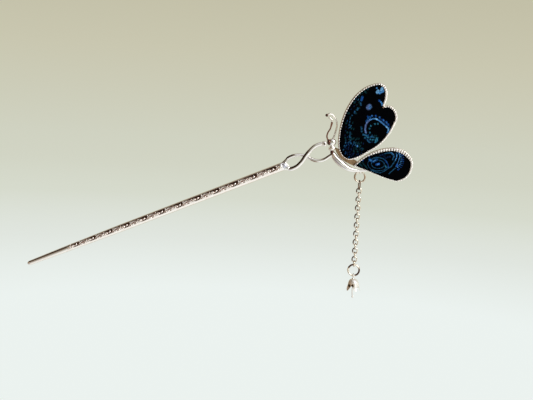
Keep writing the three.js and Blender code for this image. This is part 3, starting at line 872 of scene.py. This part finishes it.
def bezel(name, curves, broad_top, stands_for):
    """A milled wall: bars climb its outside and fold over the cloth, with a dark groove between each two of
    them, and painted shade over the outer rows along the front edges.
    """
    teeth = round(outline_points(curves, 50)[1] / TOOTH_PITCH)
    count = teeth * POINTS_PER_TOOTH
    outline = Outline(curves, count)
    reach, depth = lip_reach(outline, broad_top), milling_depth(outline)
    # Painted shade: on the edges that face the head the outer rows are darkened, standing in for their brown
    # reflection.
    front_edge = smooth_step(0.3, 0.9, outline.inward[:, 0])
    rings, groove_and_edge_shade = [], []
    for inward, bar, groove_in, groove, black, stain_and_shade in BEZEL_PROFILE:
        place = (np.arange(count) / POINTS_PER_TOOTH + 0.1 * inward) % 1.0
        dome = np.sqrt(np.clip(1 - (place / BAR_HALF_WIDTH - 1) ** 2, 0, 1)) ** 0.8
        sunk = depth * (1 - dome)
        distance = 0.05 + reach * (inward + (groove_in - inward) * sunk)
        height = bar + (groove - bar) * sunk
        rings.append(np.insert(outline.moved_in(distance), 1, height, axis=1))
        groove_and_edge_shade.append(np.maximum(depth * black * (1 - smooth_step(0.3, 0.85, dome)), stain_and_shade * front_edge))
    verts = wing_place(np.stack(rings, axis=1).reshape(-1, 3))
    faces = grid_faces(count, len(BEZEL_PROFILE), closed=True)
    recess_and_painted_shade = np.stack(groove_and_edge_shade, axis=1).ravel()
    piece(name, verts, faces, CUT, "stick", stands_for, "cut_silver", {"recess_and_painted_shade": recess_and_painted_shade})


SKY, PALE, LILAC = (0.07, 0.27, 0.65), (0.2, 0.52, 0.95), (0.11, 0.19, 0.44)
COBALT, CYAN, TEAL = (0.008, 0.07, 0.24), (0.03, 0.2, 0.34), (0.005, 0.038, 0.05)
ROYAL, MIST, INDIGO = (0.012, 0.09, 0.4), (0.018, 0.11, 0.24), (0.005, 0.02, 0.075)

# Each stroke of the print is (ink, half width, points); one point alone is a dab.
UPPER_PRINT = [
    (PALE, 0.62, [(18.9, 27.7), (19.3, 28.4)]),
    (PALE, 0.66, [(20.8, 28.7), (21.2, 29.6)]),
    (SKY, 0.5, [(20.0, 27.5), (21.6, 28.4)]),
    (SKY, 0.4, [(18.6, 29.6)]),
    (LILAC, 1.1, [(15.5, 20.7), (15.8, 21.2)]),
    (SKY, 0.5, [(16.1, 20.6), (16.2, 21.3)]),
    (ROYAL, 0.4, [(20.0, 24.2), (20.3, 23.9)]),
    (SKY, 0.34, [(20.9, 23.5), (21.1, 23.2)]),
    (SKY, 0.4, [(21.6, 22.8), (21.6, 22.2)]),
    (COBALT, 0.6, [(15.1, 14.4), (15.7, 15.4), (16.4, 16.3)]),
    (INDIGO, 0.75, [(21.0, 15.6), (22.7, 14.7), (24.5, 13.4), (25.5, 12.0)]),
    (LILAC, 0.35, [(15.1, 9.2), (14.6, 10.6), (14.7, 12.6), (15.4, 14.3), (16.6, 15.3)]),
    (SKY, 0.27, [(16.4, 15.2), (18.2, 15.9), (20.2, 15.4), (22.2, 14.1), (23.7, 13.0), (25.3, 11.8)]),
    (PALE, 0.3, [(19.0, 15.9), (19.7, 15.7)]),
    (PALE, 0.34, [(24.3, 12.5), (24.6, 12.2)]),
    (PALE, 0.36, [(25.2, 11.5), (25.3, 10.9)]),
    (SKY, 0.34, [(25.2, 10.3), (24.9, 9.8)]),
    (MIST, 0.42, [(13.9, 8.4), (15.2, 8.1), (16.4, 7.2)]),
    (CYAN, 0.34, [(20.2, 7.2), (20.5, 6.1), (19.6, 5.2)]),
    (MIST, 0.3, [(17.4, 7.6), (18.8, 7.4)]),
    (MIST, 0.3, [(17.1, 5.0), (16.3, 5.5), (16.0, 6.2)]),
    (COBALT, 0.55, [(12.3, 25.2), (12.0, 23.8)]),
    (ROYAL, 0.4, [(12.4, 25.0), (12.1, 24.2)]),
]
UPPER_DABS = [
    (ROYAL, 0.42, [(15.4, 16.6), (17.3, 17.1), (19.0, 17.2), (20.9, 16.6), (22.5, 15.6), (24.0, 14.8)]),
    (ROYAL, 0.42, [(25.0, 13.6)]),
    (SKY, 0.26, [(17.4, 17.2), (20.7, 16.8), (22.8, 15.3), (24.3, 14.3)]),
    (CYAN, 0.4, [(18.9, 13.5), (20.2, 13.7), (17.1, 12.6), (16.6, 11.3), (16.8, 9.5)]),
    (MIST, 0.4, [(12.8, 11.7), (13.0, 11.0), (13.1, 9.8), (11.8, 22.4), (11.9, 21.6), (10.6, 20.0)]),
    (MIST, 0.34, [(10.5, 19.4), (9.4, 18.4), (9.3, 17.9), (8.2, 16.7), (7.5, 12.1), (7.6, 11.3)]),
    (MIST, 0.34, [(7.9, 9.0), (7.9, 8.2), (7.8, 7.4), (7.9, 6.7), (8.6, 4.0), (10.3, 4.4)]),
    (SKY, 0.36, [(11.5, 3.2), (11.6, 2.8)]),
    (CYAN, 0.36, [(16.0, 7.2), (17.3, 6.4), (18.4, 6.3), (14.8, 7.0), (19.7, 6.2)]),
    (TEAL, 0.5, [(13.4, 27.8), (14.6, 28.9), (10.6, 25.6), (8.9, 22.6), (6.6, 17.5), (6.6, 8.9)]),
    (TEAL, 0.5, [(14.2, 1.8)]),
    (TEAL, 0.42, [(7.4, 15.9), (14.0, 27.2), (5.8, 13.0), (5.8, 6.4), (12.9, 1.6), (12.2, 26.9)]),
    (TEAL, 0.42, [(9.6, 24.0)]),
]
LOWER_PRINT = [
    (ROYAL, 0.52, [(20.9, -4.8), (22.0, -4.5)]),
    (SKY, 0.24, [(21.3, -4.9), (21.9, -4.5)]),
    (COBALT, 0.6, [(17.6, -2.9), (19.4, -3.6), (20.8, -2.6)]),
    (SKY, 0.26, [(17.7, -2.8), (18.3, -3.2)]),
    (SKY, 0.24, [(19.4, -3.5), (20.4, -2.9)]),
    (MIST, 0.2, [(19.6, -1.9), (21.4, -1.5), (23.6, -1.9), (24.9, -2.7)]),
    (ROYAL, 0.18, [(24.6, -2.5), (25.6, -3.7), (26.2, -4.6), (26.5, -6.1)]),
    (SKY, 0.24, [(27.4, 0.9), (28.3, 0.1), (28.6, -0.8)]),
    (MIST, 0.2, [(24.4, 0.3), (25.7, 0.7), (27.0, 0.9), (28.3, -0.2), (28.5, -0.9), (28.1, -2.2)]),
    (MIST, 0.2, [(29.6, 0.8), (30.0, -0.8), (29.4, -2.5), (28.6, -3.7), (27.6, -5.5), (26.3, -6.2)]),
    (SKY, 0.2, [(29.9, 0.2), (29.9, -1.0), (29.4, -2.4)]),
    (SKY, 0.13, [(31.1, 0.9), (31.3, -0.9), (30.9, -2.6), (30.2, -4.4), (29.8, -5.2)]),
    (MIST, 0.18, [(29.7, -5.9), (28.6, -6.9), (26.9, -8.7)]),
    (ROYAL, 0.4, [(30.4, -4.2), (30.2, -4.9)]),
    (MIST, 0.14, [(18.5, -7.5), (20.7, -8.3), (22.9, -8.6), (24.7, -7.6), (26.0, -6.6)]),
    (CYAN, 0.26, [(24.9, -5.0), (25.3, -5.8)]),
    (TEAL, 0.42, [(12.9, -4.9), (14.3, -6.0)]),
    (TEAL, 0.3, [(14.3, -4.2), (16.8, -6.9)]),
]
LOWER_DABS = [
    (ROYAL, 0.3, [(32.4, 0.1), (32.6, -2.0), (30.9, -6.6), (17.4, -1.6), (14.6, -3.4)]),
    (INDIGO, 0.42, [(22.4, -0.6), (24.2, -0.9), (25.8, -1.2), (23.3, -0.2), (26.8, -0.9), (24.9, -1.6)]),
]
EYE = (21.5, -4.7)
HATCHING_CENTRE, HATCHING_REACH = np.array([26.3, -2.2]), np.array([5.6, 4.6])
LEAN_STRETCH = 0.017


def lean_stretch(points):
    """The print is drawn as it is seen from the front; this undoes the shortening by the wings' lean."""
    across = np.array([-math.sin(STICK_SLOPE), math.cos(STICK_SLOPE)])
    points = np.asarray(points, dtype=float)
    return points + LEAN_STRETCH * (points @ across)[:, None] * across


def ellipse(centre, half_width, half_height, start=0.0, end=360.0):
    turn = np.radians(np.linspace(start, end, 40))
    return np.stack([centre[0] + half_width * np.cos(turn), centre[1] + half_height * np.sin(turn)], axis=1)


def hatching():
    """Fine strokes that fan out from the lower wing's outer arc."""
    strokes = []
    for index in range(11):
        turn = math.radians(-42 + 9 * index)
        way = np.array([math.cos(turn), math.sin(turn)])
        start = HATCHING_CENTRE + HATCHING_REACH * way
        strokes.append((SKY, 0.14, [start, start + 0.5 * way]))
        strokes.append((ROYAL, 0.12, [start + 1.0 * way, start + 1.5 * way]))
    return strokes


GOLDEN_ANGLE = 2.39996
GROUND_INKS = (TEAL, INDIGO, TEAL, MIST, INDIGO, TEAL, COBALT, INDIGO)


def scattered(centre, half_size, count):
    """Small irregular dabs spread evenly over an oval patch, as in the print's lace grounds."""
    strokes = []
    for index in range(count):
        reach = math.sqrt((index + 0.5) / count)
        turn = GOLDEN_ANGLE * index
        x = centre[0] + half_size[0] * reach * math.cos(turn) + 0.34 * math.sin(12.99 * index)
        z = centre[1] + half_size[1] * reach * math.sin(turn) + 0.34 * math.sin(78.23 * index)
        length = 0.15 + 0.4 * ((index * 0.618) % 1.0)
        half_width = 0.17 + 0.11 * ((index * 0.37) % 1.0)
        strokes.append((GROUND_INKS[index % len(GROUND_INKS)], half_width, [(x, z), (x + 0.15, z + length)]))
    return strokes


def inks(x, z, strokes):
    """The print's colour at each point of the cloth."""
    colour = np.zeros((len(x), 4))
    colour[:, 3] = 1
    for ink, half_width, points in strokes:
        away = distance_to(lean_stretch(points), x, z)
        cover = 1 - smooth_step(0.72 * half_width, 1.25 * half_width, away)
        colour[:, :3] += cover[:, None] * (np.array(ink) - colour[:, :3])
    return colour


def single_dabs(groups):
    return [(ink, half_width, [point]) for ink, half_width, points in groups for point in points]


ROW_SPACING = 0.866  # between the rows of a triangular grid, as a share of the spacing along them
CLEAR_OF_EDGE = 0.6  # the least gap between grid and edge, as a share of the spacing
SHORTEST_STEP = 0.03


def filled(edge, spacing):
    """Points and triangles that fill a closed outline evenly, and how many of the points are its edge."""
    low, high = edge.min(axis=0), edge.max(axis=0)
    grid = []
    for index, z in enumerate(np.arange(low[1], high[1], spacing * ROW_SPACING)):
        x = np.arange(low[0] + spacing * 0.5 * (index % 2), high[0], spacing)
        grid.append(np.stack([x, np.full(len(x), z)], axis=1))
    grid = np.vstack(grid)
    inside = np.zeros(len(grid), dtype=bool)
    for (ax, az), (bx, bz) in zip(edge, np.roll(edge, -1, axis=0)):
        if az != bz:
            crosses = (az > grid[:, 1]) != (bz > grid[:, 1])
            inside ^= crosses & (grid[:, 0] < ax + (grid[:, 1] - az) * (bx - ax) / (bz - az))
    grid = grid[inside]
    clear = np.array([np.hypot(*(edge - point).T).min() for point in grid]) > CLEAR_OF_EDGE * spacing
    points = [Vector(point) for point in np.vstack([edge, grid[clear]])]
    loop = [(i, (i + 1) % len(edge)) for i in range(len(edge))]
    verts, _, faces, *_ = delaunay_2d_cdt(points, loop, [], 1, 1e-7)
    return np.array([tuple(vert) for vert in verts]), [list(face) for face in faces], len(edge)


def cushion_sheet(outline, inset, spacing, front_at, back_at):
    """A filled outline with a front and a back, joined round the edge, and its flat area. The depths
    depend on the distance from the edge and on the place along it."""
    edge = outline.moved_in(inset)
    keep = np.concatenate([[True], np.hypot(*np.diff(edge, axis=0).T) > SHORTEST_STEP])
    edge = edge[keep][:: max(1, int(spacing * len(outline.points) / outline.length))]
    flat, triangles, rim = filled(edge, spacing)
    gap = np.hypot(flat[:, None, 0] - edge[None, :, 0], flat[:, None, 1] - edge[None, :, 1])
    away, place = gap.min(axis=1), gap.argmin(axis=1) / len(edge)
    front = np.insert(flat, 1, front_at(away, place), axis=1)
    back = np.insert(flat, 1, back_at(away, place), axis=1)
    count = len(flat)
    faces = triangles + [[corner + count for corner in face] for face in triangles]
    faces += [[i, (i + 1) % rim, (i + 1) % rim + count, i + count] for i in range(rim)]
    corners = flat[np.array(triangles)]
    first, second = corners[:, 1] - corners[:, 0], corners[:, 2] - corners[:, 0]
    area = 0.5 * np.abs(first[:, 0] * second[:, 1] - first[:, 1] * second[:, 0]).sum()
    return np.vstack([front, back]), faces, area


FELT_BACK = 0.45
FELT_MESH, CLOTH_MESH = 0.6, 0.17  # spacing of the points
CLOTH_THICKNESS = 0.12
PUCKER_SPACING = 2.4


def wing_filling(name, curves, broad_top, strokes):
    """The felt pad and the printed cloth stretched over it."""
    outline = Outline(curves, 900)
    reach = lip_reach(outline, broad_top)

    def pad_front(away, place):
        return -0.22 - 0.24 * (1 - np.exp(-away / 1.6))

    def crown(away, place):
        puckers = 0.05 * np.exp(-away / 0.7) * np.cos(2 * math.pi * place * outline.length / PUCKER_SPACING)
        return -0.6 - 0.4 * (1 - np.exp(-away / 2.2)) + puckers

    def crown_back(away, place):
        return crown(away, place) + CLOTH_THICKNESS

    pad, faces, _ = cushion_sheet(outline, reach + 0.15, FELT_MESH, pad_front, lambda away, place: FELT_BACK)
    pad_piece = piece(f"{name}_felt", wing_place(pad), faces, FELT, "stick", [f"{name}_pad"], "pad_felt")

    cloth, faces, area = cushion_sheet(outline, reach - 0.1, CLOTH_MESH, crown, crown_back)
    marks = {"print": inks(cloth[:, 0], cloth[:, 2], strokes)}
    node, verts = f"{name}_cloth", wing_place(cloth)
    cloth_piece = piece(f"{name}_print", verts, faces, CLOTH, "stick", [node], "printed_cloth", marks)


def wings():
    upper_strokes = scattered((9.6, 2.0), (4.6, 4.8), 64) + scattered((7.2, 9.5), (2.0, 6.0), 22)
    upper_strokes += scattered((17.6, 6.6), (3.2, 1.8), 26) + scattered((9.6, 21.5), (2.0, 5.0), 14)
    upper_strokes += UPPER_PRINT + single_dabs(UPPER_DABS)
    rings = [(MIST, 0.11, ellipse(EYE, 3.0, 1.9)), (MIST, 0.1, ellipse(EYE, 4.65, 3.0, 20, 345))]
    lower_strokes = hatching() + rings + LOWER_PRINT + single_dabs(LOWER_DABS)
    for name, curves, broad_top, strokes in (
        ("upper_wing", UPPER_WING, 0.0, upper_strokes),
        ("lower_wing", LOWER_WING, 0.6, lower_strokes),
    ):
        plate = Outline(curves, 420)
        plate_piece(f"{name}_plate", plate, PLATE_FRONT, PLATE_BACK, BACK, [f"{name}_back_plate"])
        bezel(f"{name}_milled_edge", curves, broad_top, [f"{name}_bezel"])
        wing_filling(name, curves, broad_top, strokes)
    web = Outline(ROOT_WEB, 160)
    # Painted shade: the root web is dark warm brown.
    plate_piece("root_web", web, PLATE_FRONT + 0.06, PLATE_BACK - 0.06, PAINTED_WEB_SHADE, ["wing_root_web"])


# ---- The chain and charm ----

LINK_COUNT = 19
LINK_WIRE = 0.275
LINK_GRID = 56, 16  # points along and round a link's wire
RING_GRID = 84, 20
FIRST_LINK_TURN = math.radians(14)


def node_box(node):
    """(centre, size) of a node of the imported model, in millimetres."""
    low, high = (np.array(corner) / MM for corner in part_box(node))
    return (low + high) / 2, high - low


def wire_link(width, height, wire, turned, seam, around, sides):
    """An oval link of round wire in a vertical plane turned about Z, with a soldered seam."""
    turn = turns(around)
    centre_line = np.stack([width * np.cos(turn), height * np.sin(turn)], axis=1)
    normal = unit(np.stack([np.cos(turn) / width, np.sin(turn) / height], axis=1))
    from_seam = np.abs((turn - seam + math.pi) % (2 * math.pi) - math.pi)
    swelling = np.exp(-((from_seam / 0.16) ** 2)) - np.exp(-(((from_seam - 0.3) / 0.1) ** 2))
    thick = (wire * (1 + 0.1 * swelling))[:, None]
    out, side = thick * np.cos(turns(sides)), thick * np.sin(turns(sides))
    flat_x = centre_line[:, None, 0] + out * normal[:, None, 0]
    flat_z = centre_line[:, None, 1] + out * normal[:, None, 1]
    c, s = math.cos(turned), math.sin(turned)
    verts = np.stack([flat_x * c - side * s, flat_x * s + side * c, flat_z], axis=-1).reshape(-1, 3)
    return verts, grid_faces(around, sides, closed=True)


def painted_link_shade(around, sides, spots):
    """How dark a link's vertices are painted, from (degrees round the link, half spread, depth) spots:
    painted shade and dark reflections on chosen sides, over a slight even base.
    """
    turn = np.arange(around) * 360 / around
    depth = np.full(around, 0.1)
    for place, spread, amount in spots:
        away = np.abs((turn - place + 180) % 360 - 180)
        depth = np.maximum(depth, amount * (1 - smooth_step(0.55 * spread, spread, away)))
    return np.repeat(depth, sides)


def chain():
    """Links that lie alternately along and across the view, between two jump rings."""
    for index in range(1, LINK_COUNT + 1):
        node = f"chain_link_{index:02d}"
        centre, size = node_box(node)
        edge_on = size[1] > size[0]
        facing = math.pi / 2 if edge_on else 0.0
        # Painted shade: edge-on links are darkened at top and bottom, face-on ones on the upper left and lower
        # right.
        spots = [(90, 70, 0.7), (-90, 70, 0.5)] if edge_on else [(158, 75, 0.85), (-60, 40, 0.5)]
        if index == 1:
            facing += FIRST_LINK_TURN
            # painted shade: the first link is darkened all round
            spots = [(0, 360, 0.75)]
        width = max(size[:2]) / 2 - LINK_WIRE
        seam = math.radians(60 + 97 * index)
        link, faces = wire_link(width, size[2] / 2 - LINK_WIRE, LINK_WIRE, facing, seam, *LINK_GRID)
        marks = {"recess_and_painted_shade": painted_link_shade(*LINK_GRID, spots)}
        piece(f"link_{index:02d}", link + centre, faces, CHAIN, node, [node], marks=marks)
    for node, name, wire, seam, spots in (
        # painted shade and brown reflections on the rings' sides
        ("upper_jump_ring", "upper_ring", 0.4, 132, [(185, 62, 0.55), (-15, 62, 0.5)]),
        ("lower_jump_ring", "lower_ring", 0.41, 30, [(128, 42, 0.85), (-25, 62, 0.9)]),
    ):
        centre, size = node_box(node)
        radius = size[2] / 2 - wire
        ring, faces = wire_link(radius, radius, wire, 0.0, math.radians(seam), *RING_GRID)
        piece(name, ring + centre, faces, CHAIN, node, [node], marks={"recess_and_painted_shade": painted_link_shade(*RING_GRID, spots)})


def eyelet():
    """The chain's eye and the drop of solder that holds it to the abdomen."""
    centre = node_box("chain_eyelet")[0]
    radius, wire = 0.85, 0.28
    ring, faces = wire_link(radius, radius, wire, math.pi / 2, 1.2, 48, 14)
    bridge_path = centre + np.array([(0, -0.75, 0.55), (-0.1, -1.5, 0.75), (-0.2, -2.1, 0.8)])
    bridge = sweep(*round_ended(bridge_path, lambda t: 0.34 + 0.16 * t, 0.15), 18, flat_axis=Z_AXIS)
    fused("chain_eye", [(ring + centre, faces), bridge], 0.06, 3, POLISHED, "stick", ["chain_eyelet"])


PETALS = 5
BELL_HEIGHT = 4.3
BELL_SIDES = 150
BELL_TURN = 0.35

# (radius, distance down): outside from the crown to the lip, then back up the inside
BELL_PROFILE = [(0.62, 0.0), (0.95, -0.06), (1.35, 0.12), (1.75, 0.42), (2.05, 0.85), (2.28, 1.4)]
BELL_PROFILE += [(2.42, 2.0), (2.52, 2.6), (2.62, 3.2), (2.74, 3.7), (2.88, 4.1), (2.94, 4.27)]
BELL_PROFILE += [(2.88, 4.33), (2.72, 4.2), (2.55, 3.7), (2.38, 3.1), (2.25, 2.4), (2.1, 1.6)]
BELL_PROFILE += [(1.85, 1.0), (1.4, 0.6), (0.62, 0.4)]


def bell():
    """A bellflower of five pointed petals with a ridge down each and a groove between neighbours."""
    centre, size = node_box("bellflower_cap")
    crown = centre[2] + size[2] / 2
    turn = turns(BELL_SIDES) + BELL_TURN
    wave = np.cos(PETALS * turn)
    between = np.abs(np.sin(PETALS * turn / 2))
    ridge = 1 - between**0.7
    rings = []
    for radius, down in BELL_PROFILE:
        reach = max(down, 0) / BELL_HEIGHT
        spread = radius * (1 + 0.14 * wave * reach**2 - 0.07 * (1 - wave) * reach * (1 - reach))
        spread = spread + 0.16 * ridge * reach * (1.3 - reach)
        drop = down + 0.95 * wave * reach**2.2 + 0.35 * (1 - between) * reach**3
        drop = drop - 0.25 * reach**3
        rings.append(np.stack([spread * np.cos(turn), spread * np.sin(turn), -drop], axis=1))
    shape = np.vstack(rings)
    verts = shape + (centre[0], centre[1], crown - 0.06)
    faces = grid_faces(len(BELL_PROFILE), BELL_SIDES, closed=True)
    # Painted shade: the side towards the viewer is darkened on its left, with two painted dark spots low on
    # the left petals.
    viewers_side = shape[:, 1] < -0.3
    recess_and_painted_shade = 0.4 * (1 - smooth_step(-1.4, 0.3, shape[:, 0])) * viewers_side
    for x, down in ((-1.9, 2.9), (-0.45, 2.9)):
        away = np.hypot(shape[:, 0] - x, (shape[:, 2] + down) * 0.8)
        recess_and_painted_shade = np.maximum(recess_and_painted_shade, (1 - smooth_step(0.4, 0.8, away)) * viewers_side)
    piece("bellflower", verts, faces, PIERCED, "charm", ["bellflower_cap"], marks={"recess_and_painted_shade": recess_and_painted_shade})


def charm_pin():
    """The charm's loop, its shank, and the stamen it ends in, bent a little to one side."""
    (x, y, middle), size = node_box("charm_pin")
    top, bottom = middle + size[2] / 2, middle - size[2] / 2
    radius, wire = 0.9, 0.27
    loop_z = top - radius - wire
    ring, faces = wire_link(radius, radius, wire, math.pi / 2, -1.2, 52, 14)
    wrap, wrap_faces = wire_link(0.34, 0.34, 0.2, 0.0, 0.0, 28, 10)
    wrap = wrap[:, [0, 2, 1]]
    shank = [(x, y, loop_z - 0.8), (x, y, loop_z - 3.0), (x, y, bottom + 3.4)]
    shank += [(x + 0.12, y, bottom + 1.6), (x + 0.3, y, bottom + 0.5)]
    rod = sweep(*round_ended(shank, lambda t: 0.27 - 0.02 * t, 0.2), 16, flat_axis=X_AXIS)
    bead = blob((x + 0.3, y, bottom + 0.62), (0.42, 0.42, 0.6), 2.0, 16, 20)
    shapes = [(ring + (x, y, loop_z), faces), rod, bead]
    shapes += [(wrap + (x, y, loop_z - radius - offset), wrap_faces) for offset in (0.36, 0.66)]
    fused("charm_stamen", shapes, 0.06, 2, POLISHED, "charm", ["charm_pin"])


# ---- The stage ----

FLOOR_Z = -0.06  # metres, as are all lengths of the stage
STAGE_CENTRE = (0.07, 0, 0)
WALL_RADIUS = 1.5
WALL_CURVE = 0.4
DOME_RADIUS = 1.3


class Glow(Shading):
    """An emission material worked out from where a point lies round the object."""

    def __init__(self, name):
        super().__init__(name)
        self.nodes.remove(self.shader)
        direction = self.nodes.new("ShaderNodeVectorMath")
        direction.operation = "NORMALIZE"
        self.feed(direction.inputs[0], self.place)
        self.direction = direction.outputs["Vector"]

    def split(self, vector):
        node = self.nodes.new("ShaderNodeSeparateXYZ")
        self.feed(node.inputs["Vector"], vector)
        return node.outputs

    def ramp(self, value, low, high, tones):
        node = self.nodes.new("ShaderNodeValToRGB")
        share = self.maths("DIVIDE", self.maths("SUBTRACT", value, low), high - low)
        self.feed(node.inputs["Fac"], share)
        elements = node.color_ramp.elements
        while len(elements) < len(tones):
            elements.new(0.5)
        for element, (place, colour) in zip(elements, tones):
            element.position = (place - low) / (high - low)
            element.color = (*colour, 1)
        return node.outputs["Color"]

    def patch(self, below, toward, inner, outer, colour):
        """colour over below, inside inner degrees of a direction, fading out at outer degrees."""
        dot = self.nodes.new("ShaderNodeVectorMath")
        dot.operation = "DOT_PRODUCT"
        self.feed(dot.inputs[0], self.direction)
        dot.inputs[1].default_value = Vector(toward).normalized()
        low, high = (math.cos(math.radians(angle)) for angle in (outer, inner))
        share = self.remap(dot.outputs["Value"], low, high, 0.0, 1.0, "SMOOTHSTEP")
        return self.mix(share, below, colour)

    def done(self, colour):
        glow = self.nodes.new("ShaderNodeEmission")
        self.feed(glow.inputs["Color"], colour)
        self.feed(self.nodes["Material Output"].inputs["Surface"], glow.outputs["Emission"])
        return self.material


def backdrop_material():
    """Plain and pale: near white on the floor, khaki grey up the wall."""
    glow = Glow("backdrop")
    x, y, z = glow.split(glow.place)
    radius = glow.maths("SQRT", glow.maths("ADD", glow.maths("MULTIPLY", x, x), glow.maths("MULTIPLY", y, y)))
    climb = glow.maths("MULTIPLY", glow.maths("SUBTRACT", z, FLOOR_Z), 1.5)
    tones = [
        (0.2, (0.835, 0.89, 0.865)),
        (0.42, (0.75, 0.79, 0.74)),
        (0.75, (0.675, 0.705, 0.61)),
        (1.3, (0.63, 0.645, 0.535)),
        (1.66, (0.585, 0.57, 0.435)),
        (1.86, (0.545, 0.525, 0.39)),
        (2.6, (0.45, 0.43, 0.33)),
        (3.9, (0.4, 0.38, 0.33)),
    ]
    return glow.done(glow.ramp(glow.maths("ADD", radius, climb), 0.0, 4.0, tones))


def studio_material():
    """What the silver reflects: a pale floor, a bright window side, and the dark of a room over the left."""
    glow = Glow("studio")
    tones = [
        (-1.0, (0.86, 0.88, 0.84)),
        (-0.25, (0.74, 0.77, 0.71)),
        (0.0, (0.58, 0.57, 0.45)),
        (0.5, (0.4, 0.38, 0.31)),
        (1.0, (0.3, 0.28, 0.25)),
    ]
    colour = glow.ramp(glow.split(glow.direction)[2], -1.0, 1.0, tones)
    for toward, inner, outer, tone in (
        ((0, 1, 0), 20, 60, (0.5, 0.42, 0.26)),
        ((-1, -0.3, 0.1), 30, 75, (0.2, 0.14, 0.1)),
        ((-0.6, -0.55, -0.55), 12, 42, (0.4, 0.36, 0.37)),
        ((0.75, -0.35, -0.6), 30, 66, (1.0, 0.99, 0.95)),
        ((0.25, -0.35, 0.9), 12, 32, (0.95, 0.93, 0.97)),
        ((-0.8, -0.6, -0.05), 8, 22, (0.9, 0.68, 0.42)),
        ((-0.7, -0.24, 0.67), 20, 30, (0.02, 0.01, 0.008)),
        ((0.05, -1, 0.12), 6, 13, (0.06, 0.04, 0.03)),
        ((0.52, -0.6, 0.62), 9, 17, (3.2, 3.2, 3.2)),
    ):
        colour = glow.patch(colour, toward, inner, outer, tone)
    return glow.done(colour)


def shell(name, curve, material, sides=96):
    """A turned surface round the object, from (radius, height over the floor) points, seen from inside."""
    turn = turns(sides)
    rings = []
    for radius, height in curve:
        level = np.full(sides, FLOOR_Z + height)
        rings.append(np.stack([radius * np.cos(turn), radius * np.sin(turn), level], axis=1))
    mesh = bpy.data.meshes.new(name)
    mesh.from_pydata(np.vstack(rings).tolist(), [], lidded_tube(len(curve), sides))
    mesh.shade_smooth()
    mesh.materials.append(material)
    obj = bpy.data.objects.new(name, mesh)
    obj.location = STAGE_CENTRE
    bpy.context.scene.collection.objects.link(obj)
    return obj


def studio():
    """A floor that curves up into a wall, which only the camera sees, and a light dome that it doesn't."""
    flat = WALL_RADIUS - WALL_CURVE
    corner = np.radians(np.linspace(0, 90, 14))[1:]
    curve = [(0.15, 0), (0.6, 0), (flat, 0)]
    curve += [(flat + WALL_CURVE * math.sin(t), WALL_CURVE * (1 - math.cos(t))) for t in corner]
    curve += [(WALL_RADIUS, 0.8), (WALL_RADIUS, 1.2), (1.3, 1.6), (0.8, 1.85), (0.2, 1.95)]
    room = shell("floor_and_wall", curve, backdrop_material())
    room.visible_glossy = room.visible_diffuse = room.visible_shadow = False
    rise = np.radians(np.linspace(-88, 88, 40))
    dome = [(DOME_RADIUS * math.cos(t), DOME_RADIUS * math.sin(t) - FLOOR_Z) for t in rise]
    light_dome = shell("light_dome", dome, studio_material())
    light_dome.visible_camera = light_dome.visible_shadow = False


def softbox(name, place, aim, width, height, power, colour):
    lamp = bpy.data.lights.new(name, "AREA")
    lamp.shape = "RECTANGLE"
    lamp.size, lamp.size_y = width, height
    lamp.energy = power
    lamp.color = colour
    obj = bpy.data.objects.new(name, lamp)
    obj.location = place
    obj.rotation_mode = "QUATERNION"
    obj.rotation_quaternion = (Vector(aim) - Vector(place)).to_track_quat("-Z", "Y")
    obj.visible_camera = False
    bpy.context.scene.collection.objects.link(obj)


def lights():
    softbox("window", (1.0, -0.5, 0.6), (0.1, 0, 0.03), 0.6, 0.45, 6.0, (1.0, 0.98, 0.96))
    bpy.context.scene.view_settings.view_transform = "Standard"


# ---- Assembly ----

add_camera()
stick_shaft()
neck()
butterfly_body()
abdomen()
antennae()
wings()
eyelet()
chain()
bell()
charm_pin()
studio()
lights()
